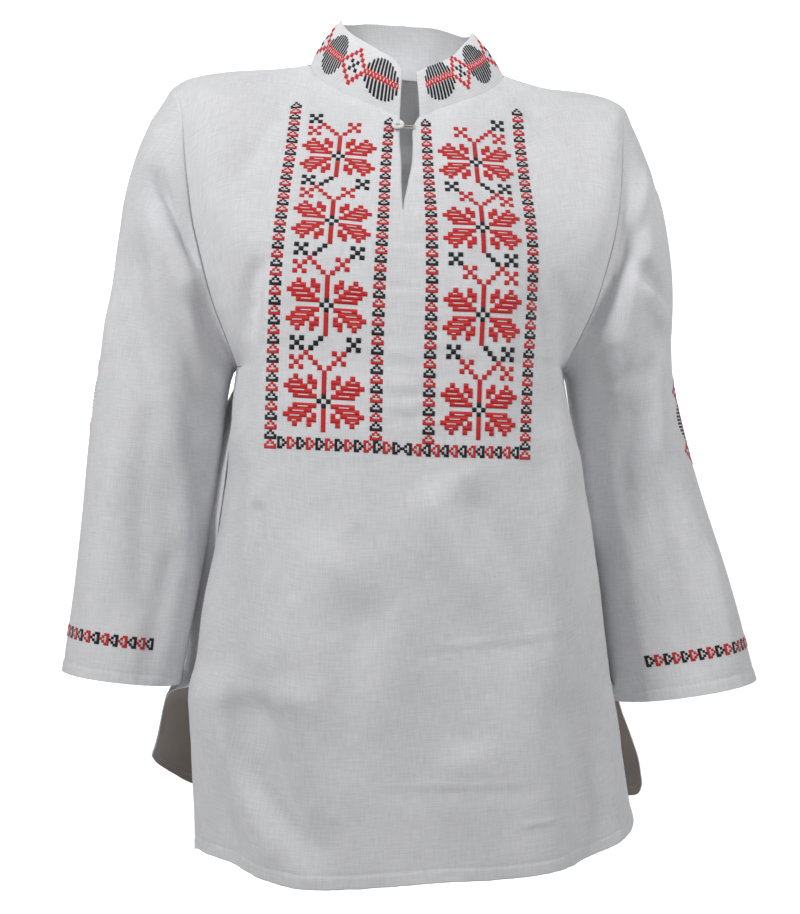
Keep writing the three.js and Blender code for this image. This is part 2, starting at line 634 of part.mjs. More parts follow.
add('front', clothWall(panelPatch('front')), cotton);
add('back', clothWall(panelPatch('back')), cotton);
add('sleeve_right', clothWall(sleevePatch(-1, SLEEVE_RIGHT)), cotton);
add('sleeve_left', clothWall(sleevePatch(1, SLEEVE_LEFT)), cotton);
add('collar', clothWall(collarPatch()), cotton);

// The button stands off the cloth on its shank of thread; the loop passes round that shank
const seat = onFront(BUTTON_AT.x, BUTTON_AT.z);
const standing = new THREE.Quaternion().setFromUnitVectors(new THREE.Vector3(0, 1, 0), seat.out);
const stem = new THREE.CylinderGeometry(SHANK_RADIUS, SHANK_RADIUS, SHANK_LENGTH, 12);
const shank = add('button_shank', stem, cord);
shank.quaternion.copy(standing);
shank.position.copy(seat.point).addScaledVector(seat.out, SEAM_GAP + SHANK_LENGTH / 2);
const button = add('button', buttonGeometry(), pearl);
button.quaternion.copy(standing);
button.position.copy(seat.point).addScaledVector(seat.out, 2 * SEAM_GAP + SHANK_LENGTH);
const loopCentre = seat.point.clone().addScaledVector(seat.out, SEAM_GAP + SHANK_LENGTH / 2);
add('button_loop', loopGeometry(loopCentre, seat.out), cord);

export default blouse;
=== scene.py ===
import logging
import math
from dataclasses import dataclass, field
from enum import Enum

import bpy
import numpy as np
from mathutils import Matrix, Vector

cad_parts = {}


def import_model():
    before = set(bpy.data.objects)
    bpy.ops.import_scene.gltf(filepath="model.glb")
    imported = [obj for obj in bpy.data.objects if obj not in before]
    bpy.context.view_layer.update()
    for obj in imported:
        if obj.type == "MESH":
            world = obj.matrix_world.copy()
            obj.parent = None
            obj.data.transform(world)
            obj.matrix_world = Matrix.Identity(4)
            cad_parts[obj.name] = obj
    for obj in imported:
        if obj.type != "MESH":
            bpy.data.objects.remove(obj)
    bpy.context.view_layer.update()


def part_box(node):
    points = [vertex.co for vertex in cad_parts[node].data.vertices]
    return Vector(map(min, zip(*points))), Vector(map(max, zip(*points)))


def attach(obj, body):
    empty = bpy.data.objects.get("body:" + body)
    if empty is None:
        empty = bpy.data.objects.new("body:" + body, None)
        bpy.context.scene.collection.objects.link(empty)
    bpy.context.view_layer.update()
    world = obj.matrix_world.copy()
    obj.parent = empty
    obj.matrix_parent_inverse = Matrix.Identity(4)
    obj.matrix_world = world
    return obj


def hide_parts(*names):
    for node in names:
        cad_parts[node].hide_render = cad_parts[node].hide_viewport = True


# Looks of the embroidered blouse: every cut piece as a thin shell of cotton with its folds,
# hems and seams, the cross-stitch on it as raised thread, and the button with its cord loop.
# Shapes are worked out in the part's frame in millimetres and put into meshes in metres.

MM = 0.001
LOG = logging.getLogger("blouse")
Numbers = float | np.ndarray   # one number or a grid of them


class Face(Enum):
    """The two panels of the body."""

    FRONT = "front"
    BACK = "back"


class Side(Enum):
    """The wearer's sides, with the sign of X on each."""

    RIGHT = -1
    LEFT = 1


# ------------------------------------------------------------------ small tools
def mix(a: Numbers, b: Numbers, t: Numbers) -> Numbers:
    """Straight mix: a plus t times the way from a to b.

    Args:
        a: value at t = 0, a number or an array.
        b: value at t = 1.
        t: share of the way.

    Returns:
        The mixed value.
    """
    return a + (b - a) * t


def ease(t: Numbers) -> Numbers:
    """Smooth step: 3 t squared minus 2 t cubed, held at 0 and 1 outside.

    Args:
        t: share, any size.

    Returns:
        The eased share from 0 to 1.
    """
    held = np.clip(t, 0.0, 1.0)
    return held * held * (3 - 2 * held)


def vectors(x: Numbers, y: Numbers, z: Numbers) -> np.ndarray:
    """Joins three coordinates, spread to one shape, into an array of points.

    Args:
        x: across, in mm.
        y: depth, in mm.
        z: height, in mm.

    Returns:
        Array with a last axis of 3.
    """
    return np.stack(np.broadcast_arrays(x, y, z), axis=-1)


def unit(v: np.ndarray) -> np.ndarray:
    """Each vector divided by its length.

    Args:
        v: array with a last axis of 3.

    Returns:
        Array of the same shape with lengths of 1.
    """
    return v / np.maximum(np.linalg.norm(v, axis=-1, keepdims=True), 1e-12)


def distances(points: np.ndarray) -> np.ndarray:
    """Distance of each point from the first along a path: the steps' lengths added up.

    Args:
        points: the path, its points along the first axis.

    Returns:
        The distances, starting with 0.
    """
    return np.concatenate([[0], np.cumsum(np.linalg.norm(np.diff(points, axis=0), axis=1))])


class Table:
    """Short table with named columns, read smoothly between its rows."""

    def __init__(self, names: str, *rows: tuple) -> None:
        """Sorts the rows by their first column and works out the slope at each row.

        Args:
            names: the columns' names with spaces between; the first is the key.
            rows: one tuple of numbers a row.
        """
        self.names = names.split()
        data = np.array(sorted(rows), float)
        self.keys, self.data = data[:, 0], data
        before = np.maximum(np.arange(len(data)) - 1, 0)
        after = np.minimum(np.arange(len(data)) + 1, len(data) - 1)
        self.slopes = (data[after] - data[before]) / (self.keys[after] - self.keys[before])[:, None]

    def read(self, name: str, at: Numbers) -> np.ndarray:
        """Catmull-Rom value: a cubic between two rows with each row's slope taken from its neighbours.

        Args:
            name: the column.
            at: keys, a number or an array.

        Returns:
            The column's value at each key, held at the ends.
        """
        at = np.asarray(at, float)
        column = self.names.index(name)
        i = np.clip(np.searchsorted(self.keys, at, side="right") - 1, 0, len(self.keys) - 2)
        step = self.keys[i + 1] - self.keys[i]
        t = np.clip((at - self.keys[i]) / step, 0, 1)
        low, high = self.data[i, column], self.data[i + 1, column]
        bend = (1 - t) * self.slopes[i, column] - t * self.slopes[i + 1, column]
        return mix(low, high, t * t * (3 - 2 * t)) + step * t * (1 - t) * bend


def value_noise(x: Numbers, y: Numbers, seed: int) -> np.ndarray:
    """Smooth noise: a fixed number from -1 to 1 at each whole point, mixed with a quintic ease.

    Args:
        x: place in cells.
        y: place in cells.
        seed: which noise.

    Returns:
        Noise from -1 to 1.
    """
    x, y = np.broadcast_arrays(np.asarray(x, float), np.asarray(y, float))
    ix, iy = np.floor(x).astype(np.int64), np.floor(y).astype(np.int64)
    fx, fy = x - ix, y - iy
    ux, uy = fx**3 * (fx * (6 * fx - 15) + 10), fy**3 * (fy * (6 * fy - 15) + 10)

    def lattice(a: np.ndarray, b: np.ndarray) -> np.ndarray:
        """Hash of a whole point to a number from -1 to 1."""
        h = (a * 374761393 + b * 668265263 + seed * 2246822519) & 0xFFFFFFFF
        h = ((h ^ (h >> 13)) * 1274126177) & 0xFFFFFFFF
        return ((h ^ (h >> 16)) & 0xFFFFFFFF) / 2147483648.0 - 1.0

    low = mix(lattice(ix, iy), lattice(ix + 1, iy), ux)
    high = mix(lattice(ix, iy + 1), lattice(ix + 1, iy + 1), ux)
    return mix(low, high, uy)


def ripples(x: Numbers, y: Numbers, long: float, short: float, lean: float, seed: int) -> np.ndarray:
    """Wrinkles longer one way than the other: noise whose cells are stretched along a leaning line.

    Args:
        x: across the cloth, mm.
        y: up the cloth, mm.
        long: length of a wrinkle, mm.
        short: its width, mm.
        lean: degrees that the long way leans up from across.
        seed: which noise.

    Returns:
        Noise from -1 to 1, two layers of it added.
    """
    c, s = math.cos(math.radians(lean)), math.sin(math.radians(lean))
    along, over = (x * c + y * s) / long, (y * c - x * s) / short
    return 0.7 * value_noise(along, over, seed) + 0.3 * value_noise(2.1 * along, 2.1 * over, seed + 1)


def fold_height(folds: list, x: Numbers, z: Numbers, start: float = 0.4,
                end: float = 0.15) -> np.ndarray:
    """Sum of soft ridges and troughs along bowed lines: each is its height times a bell
    across the line, eased in over its first part and out past its end.

    Args:
        folds: tuples of x0, z0, x1, z1, wide, high, and a bow to the right of the way, all mm.
        x: across, mm.
        z: up, mm.
        start: share of the line over which a fold rises.
        end: share past the end over which it dies away.

    Returns:
        Height over the smooth cloth, mm.
    """
    total = np.zeros(np.broadcast(x, z).shape)
    for x0, z0, x1, z1, wide, high, *bow in folds:
        dx, dz = x1 - x0, z1 - z0
        size = dx * dx + dz * dz
        along = ((x - x0) * dx + (z - z0) * dz) / size
        near = np.clip(along, 0, 1)
        off = ((x - x0) * dz - (z - z0) * dx) / math.sqrt(size)
        if bow:
            off = off - bow[0] * 4 * near * (1 - near)
        past = (along - near) * math.sqrt(size)
        bell = np.exp(-((off / wide) ** 2) - (past / wide) ** 2)
        total = total + high * bell * ease(along / start) * ease((1 + end - along) / (2.2 * end))
    return total


# ------------------------------------------------------------------ the pattern pieces' forms
FULLNESS = 2.5
ARMPIT_Y, ARMPIT_Z, VENT_TOP_Z = -5.0, -285.0, -575.0
NECK_S, NECK_HALF, NECK_MIDDLE_X, SHOULDER_HALF = 0.4, 91.0, 5.5, 212.0
UPPER_ROWS, VENT_ROWS, SLIT_ROW = 12, 4, 7
ARMHOLE_REACH = {Face.FRONT: -55.0, Face.BACK: 60.0}
BUST_T, BUST_SOFT, BACK_ROUND, ARMHOLE_PULL = 0.42, 0.1, 3, 0.42
NECK_DROP = {Face.FRONT: 0.257, Face.BACK: 0.06}
NECK_CURVE = {Face.FRONT: (1.4, 0.7), Face.BACK: (2.0, 0.5)}
SEAM_GAP = 0.3

BODY_LEVELS = Table(
    "z right left front back seam middle",
    (-575, 191, 192, -141, 110, -22, -11), (-540, 188, 187, -141, 108, -22, -11),
    (-505, 184, 183, -140, 106, -22, -12), (-470, 178, 179, -140, 104, -22, -12),
    (-437, 171, 174, -140, 102, -21, -12), (-404, 166, 169, -139, 101, -19, -12),
    (-374, 162, 164, -137, 100, -16, -12), (-345, 159, 159, -135, 99, -12, -12),
    (-315, 156, 154, -132, 98, -8, -11.5), (-285, 152, 150, -129, 97, -5, -11),
)
TAILS = {
    Face.FRONT: Table(
        "z right left depth seam middle",
        (-740, 190, 212, -142, -32, -11), (-690, 191, 208, -141, -28, -11),
        (-640, 192, 201, -141, -24, -11), (-575, 191, 192, -141, -22, -11),
    ),
    Face.BACK: Table(
        "z right left depth seam middle",
        (-740, 228, 238, 120, 32, -11), (-690, 228, 236, 118, 30, -11),
        (-655, 225, 230, 116, 24, -11), (-610, 209, 209, 113, 2, -11),
        (-575, 191, 192, 110, -22, -11),
    ),
}
HEMS = {
    Face.FRONT: Table(
        "s z", (-1, -722), (-0.9, -717), (-0.8, -714), (-0.6, -716), (-0.4, -725), (-0.28, -730),
        (0, -729), (0.3, -724), (0.45, -720), (0.65, -708), (0.82, -699), (0.93, -694), (1, -682),
    ),
    Face.BACK: Table(
        "s z", (-1, -648), (-0.9, -656), (-0.75, -670), (-0.6, -688), (-0.45, -704), (0, -720),
        (0.5, -712), (0.75, -704), (0.9, -697), (1, -684),
    ),
}
SHOULDER_RIDGE = Table(
    "out right left", (0, 18, 18), (45, 13, 12), (91, -1, -7), (113, -5, -14), (135, -7, -19),
    (160, -9, -21), (183, -13, -24), (200, -18, -30), (212, -26, -38),
)
ARMHOLE = Table(
    "up out", (0, 151), (0.1, 161), (0.22, 173), (0.36, 183), (0.5, 191), (0.65, 196),
    (0.85, 201), (0.93, 205), (1, 212),
)
SLIT_EDGES = Table(
    "z right left", (-200, 0, 0), (-154, -4.5, -4.5), (-129, -6.4, -0.8), (-109, -6.5, 2.7),
    (-90, -7.8, 3.7), (-77, -8.0, 3.7), (-68, -7.8, 5.6), (-58, -7.6, 11.5),
)
# Largest folds, as in the solids, then the finer ones of the cloth itself
PANEL_FOLDS = {
    Face.FRONT: [
        (131, -170, 154, -350, 15, -6), (118, -190, 143, -420, 13, 4),
        (-134, -180, -146, -330, 13, -5), (-150, -420, -160, -760, 22, -9),
        (-85, -480, -95, -760, 34, 5), (10, -520, 12, -760, 36, -4),
        (88, -500, 100, -760, 30, 5), (148, -430, 160, -760, 20, -7),
    ],
    Face.BACK: [
        (-120, -260, -138, -760, 24, -7), (-60, -330, -72, -760, 26, 6),
        (0, -380, 4, -760, 28, -6), (64, -330, 76, -760, 26, 6), (122, -260, 142, -760, 24, -7),
    ],
}
# Seed of each panel's fine ripples
PANEL_SEED = {Face.FRONT: 11, Face.BACK: 47}
# Finer creases of each panel: pressed lines, puckers beside the embroidery and soft dents
CREASES = {
    Face.FRONT: [
        (-14, -530, 155, -517, 2.6, 0.6), (-14, -536, 155, -524, 12, -0.7),
        (-38, -646, 108, -644, 2.6, 0.5), (-38, -652, 108, -650, 12, -0.6),
        (86, -680, 122, -678, 2.4, 0.8), (-12, -376, -11, -458, 2.2, 0.6),
        (-131, -190, -140, -256, 9, -3.2, 3), (-118, -196, -128, -262, 9, 2.2),
        (106, -200, 118, -274, 8, -2.6, -3), (118, -274, 130, -332, 9, -3),
        (-180, -540, -122, -700, 20, 8.5, 8), (-146, -540, -88, -700, 20, -9, 8),
        (120, -560, 160, -712, 18, -4.5, -8), (2, -382, 72, -508, 20, 4),
        (38, -382, 108, -508, 18, -5), (-136, -400, -128, -465, 6, -3), (-182, -566, -84, -574, 14, 4),
        (-60, -430, -130, -560, 26, 3.5), (150, -360, 168, -520, 12, -4),
        (-150, -352, -166, -500, 12, -4), (-70, -20, -128, -90, 12, 2.2),
        (84, -26, 140, -100, 12, 2.2), (-96, -30, -150, -120, 10, -2.0),
        (108, -30, 160, -120, 10, -2.0), (-40, -470, -66, -640, 20, -3), (44, -600, 60, -720, 20, 3),
    ],
    Face.BACK: [
        (-120, -30, -166, -150, 14, 3), (120, -30, 166, -150, 14, -3),
        (-150, -120, -110, -300, 15, -4), (150, -120, 112, -300, 15, -4),
        (-90, -520, 120, -512, 2.6, 0.9), (-60, -630, 90, -636, 2.6, 0.8),
        (-70, -340, -20, -520, 22, 4), (70, -340, 30, -520, 22, -3), (-160, -420, -190, -600, 16, -5),
        (150, -420, 180, -600, 16, 4), (-30, -70, 34, -76, 12, -1.6), (10, -120, 2, -330, 22, 2.5),
    ],
}
# Finer creases of the sleeves, seen from the front, with others for the hidden half
SLEEVE_CREASES = {
    (Side.RIGHT, Face.FRONT): [
        (-229, -104, -186, -194, 8, -6.5, 3), (-240, -128, -176, -300, 12, 4.5, -4),
        (-249, -154, -229, -304, 14, -6, 6), (-254, -150, -272, -270, 9, 4),
        (-199, -212, -160, -284, 11, -6), (-226, -290, -238, -500, 14, -4, 6),
        (-212, -300, -196, -470, 12, 3.5), (-262, -330, -284, -540, 12, 3.5),
        (-205, -430, -232, -560, 11, -3.5), (-180, -350, -184, -470, 8, -4),
        (-222, -66, -236, -112, 9, 3),
    ],
    (Side.RIGHT, Face.BACK): [
        (-235, -110, -180, -210, 12, -6), (-250, -160, -190, -320, 13, 5),
        (-225, -280, -240, -500, 14, -5), (-262, -330, -284, -540, 12, 4),
        (-196, -400, -214, -560, 12, -4),
    ],
    (Side.LEFT, Face.FRONT): [
        (209, -150, 168, -246, 10, -7, -3), (210, -186, 194, -284, 11, 6),
        (211, -186, 246, -226, 8, -6), (216, -206, 246, -250, 10, 4.5),
        (184, -262, 196, -300, 10, -4.5), (236, -250, 236, -366, 10, 4.5),
        (214, -300, 204, -420, 14, -5), (226, -366, 264, -560, 14, -4.5),
        (206, -420, 222, -570, 12, 4), (284, -440, 306, -560, 11, 3.5), (180, -340, 192, -470, 9, -4),
        (232, -92, 212, -150, 9, 3.5), (226, -100, 240, -116, 6, -3),
    ],
    (Side.LEFT, Face.BACK): [
        (230, -110, 178, -210, 12, -6), (240, -170, 190, -330, 13, 5), (222, -290, 236, -480, 14, -5),
        (250, -330, 292, -540, 12, 4), (196, -400, 222, -560, 12, -4),
    ],
}
SLEEVE_SECTIONS = {
    Side.RIGHT: Table(
        "row outX outZ inX inZ y reach",
        (1, 233, -57, 156, -289, 0, 60), (2, 246, -88, 159, -297, 2, 62),
        (3, 257, -129, 161, -307, 4, 62), (4, 263, -174, 163, -320, 7, 60),
        (5, 268, -215, 165, -336, 10, 57), (6, 276, -255, 167, -357, 12, 54),
        (7, 284, -304, 170, -385, 13, 52), (8, 291, -362, 174, -419, 12, 50),
        (9, 296, -420, 182, -457, 8, 48), (10, 303, -490, 193, -514, 1, 45),
        (11, 312, -561, 205, -575, -8, 42),
    ),
    Side.LEFT: Table(
        "row outX outZ inX inZ y reach",
        (1, 226, -68, 155, -289, 0, 60), (2, 238, -98, 158, -296, 2, 62),
        (3, 249, -132, 160, -306, 4, 62), (4, 257, -176, 162, -319, 7, 60),
        (5, 260, -216, 165, -336, 10, 57), (6, 259, -256, 169, -357, 12, 54),
        (7, 262, -298, 173, -385, 13, 52), (8, 275, -354, 178, -419, 12, 51),
        (9, 293, -415, 184, -457, 8, 49), (10, 317, -494, 192, -525, 1, 46),
        (11, 337, -577, 200, -596, -8, 44),
    ),
}
SLEEVE_ROWS, CAP_ROWS = 11, 5
# a0 d0 a1 d1 wide high: angle in turns (0 outside, 0.25 front, 0.5 inside), share down
SLEEVE_FOLDS = [
    (0.13, 0.16, 0.33, 0.5, 0.045, 5), (0.22, 0.12, 0.4, 0.42, 0.045, -5),
    (0.08, 0.5, 0.12, 0.98, 0.055, 3.5), (0.21, 0.5, 0.22, 1.0, 0.05, -4),
    (0.62, 0.3, 0.72, 0.95, 0.06, -4), (0.86, 0.16, 0.7, 0.5, 0.05, 4),
]
COLLAR_HEIGHT = Table(
    "round high", (0, 43), (0.012, 48), (0.03, 50.5), (0.07, 50), (0.13, 49), (0.18, 46.5),
    (0.22, 44), (0.25, 43), (0.3, 49), (0.35, 52.5), (0.42, 52), (0.5, 50), (0.58, 50.5),
    (0.65, 49.5), (0.7, 44.5), (0.74, 39.5), (0.78, 42), (0.82, 43.5), (0.86, 40), (0.9, 39.5),
    (0.95, 41), (0.985, 43.5), (1, 43),
)
COLLAR_TOP_X, COLLAR_TOP_Y, COLLAR_MIDDLE_Y, COLLAR_BULGE = 0.68, 0.78, 3.0, 2.5


@dataclass
class PanelForm:
    """Smooth surface of the front or the back, s across from the right side (-1) to the left (1)."""

    face: Face

    def level(self, z: Numbers) -> dict:
        """Half widths, depth and side seam at a height, from the body's table or the tail's.

        Args:
            z: heights, mm.

        Returns:
            Arrays by name.
        """
        tail = TAILS[self.face]
        names = {"right": "right", "left": "left", "depth": self.face.value, "seam": "seam",
                 "middle": "middle"}
        return {
            name: np.where(z < VENT_TOP_Z, tail.read(name, z), BODY_LEVELS.read(body, z))
            for name, body in names.items()
        }

    def section(self, s: Numbers, z: Numbers) -> np.ndarray:
        """Superellipse in polar form: the radius is (sin^n + cos^n)^(-1/n) of the angle s x 90.

        Args:
            s: place across.
            z: height, mm.

        Returns:
            Points of the section.
        """
        at = self.level(np.asarray(z, float))
        angle = np.abs(s) * math.pi / 2
        across, along = np.sin(angle), np.maximum(0, np.cos(angle))
        radius = (across**FULLNESS + along**FULLNESS) ** (-1 / FULLNESS)
        half = np.where(s < 0, -at["right"], at["left"])
        return vectors(mix(at["middle"], half, radius * across),
                       mix(at["seam"], at["depth"], radius * along), z)

    def ridge(self, s: Numbers) -> np.ndarray:
        """Shoulder ridge, with the line inside the neck that the neckline is cut from.

        Args:
            s: place across.

        Returns:
            Points of the ridge.
        """
        a = np.abs(s)
        out = np.where(a < NECK_S, NECK_HALF * a / NECK_S,
                       mix(NECK_HALF, SHOULDER_HALF, (a - NECK_S) / (1 - NECK_S)))
        high = np.where(s < 0, SHOULDER_RIDGE.read("right", out), SHOULDER_RIDGE.read("left", out))
        shift = NECK_MIDDLE_X * np.minimum(1, (1 - a) / (1 - NECK_S))
        return vectors(np.sign(s) * out + shift, 0.0, high)

    def slope_back(self, t: Numbers) -> np.ndarray:
        """Share of the way back from the bust line to the ridge: a soft hinge on the front,
        a rounded step on the back.

        Args:
            t: share of the way up.

        Returns:
            Share of the way back.
        """
        if self.face is Face.BACK:
            return 1 - (1 - np.clip(t, 0, 1) ** BACK_ROUND) ** (1 / BACK_ROUND)

        def soft(x: Numbers) -> Numbers:
            """Soft hinge: the logarithm of one plus an exponential."""
            return BUST_SOFT * np.log(1 + np.exp((x - BUST_T) / BUST_SOFT))

        return (soft(t) - soft(0.0)) / (soft(1.0) - soft(0.0))

    def upper(self, s: Numbers, t: Numbers) -> np.ndarray:
        """Panel over the armpit: the section at the armpit mixed with the ridge, and near the
        side drawn to the armhole.

        Args:
            s: place across.
            t: share of the way up.

        Returns:
            Points of the panel.
        """
        depth = self.slope_back(t)
        way = vectors(t, depth, t)
        side = np.where(s < 0, -1.0, 1.0)
        point = mix(self.section(s, ARMPIT_Z), self.ridge(s), way)
        plain = mix(self.section(side, ARMPIT_Z), self.ridge(side), way)
        pull = ease((np.abs(s) - ARMHOLE_PULL) / (1 - ARMHOLE_PULL))
        return point + (armhole(side, self.face, t) - plain) * pull[..., None]

    def neckline_t(self, s: Numbers) -> np.ndarray:
        """Share of the height at which the neckline cuts a column: one minus the drop times
        (1 - a^p)^q, with a the share of the way out to the side of the neck.

        Args:
            s: place across.

        Returns:
            The share, 1 outside the neck.
        """
        a = np.minimum(1, np.abs(s) / NECK_S)
        p, q = NECK_CURVE[self.face]
        return 1 - NECK_DROP[self.face] * (1 - a**p) ** q

    def smooth(self, s: Numbers, row: Numbers) -> np.ndarray:
        """Panel surface without folds: rows below 0 run down to the hem, rows above up to the neck.

        Args:
            s: place across.
            row: row of the panel, whole at the levels of the tables.

        Returns:
            Points of the panel.
        """
        s, row = np.broadcast_arrays(np.asarray(s, float), np.asarray(row, float))
        levels = BODY_LEVELS.keys[::-1]
        last = len(levels) - 1
        z = np.interp(-row, np.arange(last + 1), levels)
        tail = mix(VENT_TOP_Z, HEMS[self.face].read("z", s), (-row - last) / VENT_ROWS)
        z = np.where(-row > last, tail, z)
        low = self.section(s, np.minimum(z, ARMPIT_Z))
        high = self.upper(s, np.clip(row, 0, None) / UPPER_ROWS * self.neckline_t(s))
        return np.where((row < 0)[..., None], low, high)


def armhole(side: Numbers, face: Face, t: Numbers) -> np.ndarray:
    """Armhole from the armpit (t = 0) to the shoulder point (t = 1): half a turn of a flat loop.

    Args:
        side: sign of X.
        face: which panel's half.
        t: share of the way round.

    Returns:
        Points of the armhole.
    """
    tip = PanelForm(face).ridge(side)
    up = (1 - np.cos(math.pi * t)) / 2
    out = ARMHOLE.read("out", up) + np.where(side < 0, 1.0, -1.0) * (1 - up)
    return vectors(side * out, ARMPIT_Y * (1 - t) + ARMHOLE_REACH[face] * np.sin(math.pi * t),
                   mix(ARMPIT_Z, tip[..., 2], up))


@dataclass
class SleeveForm:
    """Smooth surface of a sleeve, rows down from the armhole, turns round from the armpit over
    the back to the shoulder and down the front."""

    side: Side

    def ring(self, at: dict, turn: Numbers) -> np.ndarray:
        """Leaning ellipse between the inner and the outer line.

        Args:
            at: the section's measures by name.
            turn: share of the way round.

        Returns:
            Points of the ring.
        """
        angle = 2 * math.pi * turn
        over = (1 + np.cos(angle)) / 2
        return vectors(self.side.value * mix(at["outX"], at["inX"], over),
                       at["y"] + at["reach"] * np.sin(angle), mix(at["outZ"], at["inZ"], over))

    def folds(self, turn: Numbers, down: Numbers) -> np.ndarray:
        """Sum of bells round the sleeve whose middle moves with the way down.

        Args:
            turn: share of the way round from the armpit.
            down: share of the way down.

        Returns:
            Height, mm.
        """
        angle = (0.5 - turn) % 1
        total = np.zeros(np.broadcast(turn, down).shape)
        for a0, d0, a1, d1, wide, high in SLEEVE_FOLDS:
            along = (down - d0) / (d1 - d0)
            off = np.abs(angle - mix(a0, a1, np.clip(along, 0, 1)))
            off = np.minimum(off, 1 - off) / wide
            total = total + high * np.exp(-off * off) * ease(along * 3) * ease((1.1 - along) * 3)
        return total

    def surface(self, turn: Numbers, row: Numbers) -> np.ndarray:
        """Sleeve surface with its large folds; the armhole's form fades over the cap.

        Args:
            turn: share of the way round from the armpit.
            row: row down, 0 at the armhole and whole at the sections.

        Returns:
            Points of the sleeve.
        """
        turn, row = np.broadcast_arrays(np.asarray(turn, float), np.asarray(row, float))
        sign = self.side.value
        t = 1 - np.abs(1 - 2 * turn)
        start = np.where((turn <= 0.5)[..., None], armhole(float(sign), Face.BACK, t),
                         armhole(float(sign), Face.FRONT, t))
        tip = PanelForm(Face.FRONT).ridge(float(sign))
        plain = self.ring({"outX": sign * tip[0], "outZ": tip[2], "inX": ARMHOLE.read("out", 0.0),
                           "inZ": ARMPIT_Z, "y": 0.0, "reach": ARMHOLE_REACH[Face.BACK]}, turn)
        table = SLEEVE_SECTIONS[self.side]
        held = np.maximum(row, 1)
        ring = self.ring({name: table.read(name, held) for name in table.names[1:]}, turn)
        fade = np.maximum(0, 1 - held / CAP_ROWS) ** 2
        angle = 2 * math.pi * turn
        ring[..., 0] += (start[..., 0] - plain[..., 0]) * fade
        out = vectors(-sign * np.cos(angle), np.sin(angle), 0.0)
        ring = ring + out * ((1 - fade) * self.folds(turn, held / SLEEVE_ROWS))[..., None]
        start = start + np.array([sign * SEAM_GAP / 2, 0, 0])
        return mix(start, ring, np.clip(row, 0, 1)[..., None])


# ------------------------------------------------------------------ cloth as grids
@dataclass
class ClothGrid:
    """Outer side of a cut piece: points on a grid, their normals, and each point's place on
    the flat cloth (across, up), all in mm."""

    points: np.ndarray
    normals: np.ndarray
    flat: np.ndarray

    @staticmethod
    def from_surface(points: np.ndarray, turned: bool) -> "ClothGrid":
        """Normals by the cross product of the steps along rows and columns, flat places by
        adding up the steps' lengths from the middle column and the lowest row.

        Args:
            points: grid of points, rows upwards.
            turned: whether the cross product points inwards.

        Returns:
            The grid.
        """
        across = np.gradient(points, axis=1)
        up = np.gradient(points, axis=0)
        normals = unit(np.cross(across, up)) * (-1 if turned else 1)
        steps = np.linalg.norm(np.diff(points, axis=1), axis=-1)
        a = np.concatenate([np.zeros((len(points), 1)), np.cumsum(steps, axis=1)], axis=1)
        a -= a[:, [points.shape[1] // 2]]
        rises = np.linalg.norm(np.diff(points, axis=0), axis=-1)
        b = np.concatenate([np.zeros((1, points.shape[1])), np.cumsum(rises, axis=0)], axis=0)
        return ClothGrid(points, normals, np.stack([a, b], -1))

    def lifted(self, height: np.ndarray) -> "ClothGrid":
        """Grid moved along its normals, with the normals worked out again by the same steps.

        Args:
            height: mm at each point.

        Returns:
            The moved grid, with the flat places kept.
        """
        points = self.points + self.normals * height[..., None]
        fresh = unit(np.cross(np.gradient(points, axis=1), np.gradient(points, axis=0)))
        same = np.sign(np.sum(fresh * self.normals, axis=-1, keepdims=True))
        return ClothGrid(points, fresh * np.where(same == 0, 1, same), self.flat)

    def sample(self, row: np.ndarray, column: np.ndarray) -> tuple:
        """Point and normal at a place between the grid's points, by bilinear mix.

        Args:
            row: place along the rows, fractional.
            column: place along the columns, fractional.

        Returns:
            Points and unit normals.
        """
        rows, columns = self.points.shape[:2]
        r = np.clip(row, 0, rows - 1.001)
        c = np.clip(column, 0, columns - 1.001)
        i, j = r.astype(int), c.astype(int)
        u, v = (r - i)[..., None], (c - j)[..., None]
        found = []
        for field_ in (self.points, self.normals):
            low = mix(field_[i, j], field_[i, j + 1], v)
            high = mix(field_[i + 1, j], field_[i + 1, j + 1], v)
            found.append(mix(low, high, u))
        return found[0], unit(found[1])


def quads(grid: np.ndarray) -> np.ndarray:
    """Corners of each cell of a grid, anticlockwise with rows up and columns to the right.

    Args:
        grid: array of rows by columns, with any further axes.

    Returns:
        Array of cells by 4 corners.
    """
    corners = np.stack([grid[:-1, :-1], grid[:-1, 1:], grid[1:, 1:], grid[1:, :-1]], axis=2)
    return corners.reshape(-1, 4, *grid.shape[2:])


def make_object(name: str, points: np.ndarray, groups: list, places: list) -> bpy.types.Object:
    """Puts points and faces into a smooth-shaded mesh with a UV map, as an object at the origin.

    Args:
        name: the piece's name.
        points: points in mm.
        groups: arrays of vertex numbers, one row a face.
        places: for each array the flat place of its faces' corners, mm, kept as UV in metres.

    Returns:
        The object, linked to the scene.
    """
    mesh = bpy.data.meshes.new(name)
    mesh.from_pydata(np.asarray(points).reshape(-1, 3) * MM, [], sum((g.tolist() for g in groups), []))
    layer = mesh.uv_layers.new(name="cloth")
    spots = np.concatenate([np.asarray(place).reshape(-1, 2) for place in places])
    layer.data.foreach_set("uv", (spots * MM).astype(np.float32).ravel())
    mesh.polygons.foreach_set("use_smooth", np.ones(len(mesh.polygons), bool))
    mesh.update()
    made = bpy.data.objects.new(name, mesh)
    bpy.context.scene.collection.objects.link(made)
    return made


def give_wall(piece: bpy.types.Object, thick: float) -> None:
    """Solidify modifier inwards from the outer side.

    Args:
        piece: the open shell.
        thick: wall in mm.
    """
    wall = piece.modifiers.new("wall", "SOLIDIFY")
    wall.thickness = thick * MM
    wall.offset = -1
    wall.use_even_offset = False
    wall.use_rim = True


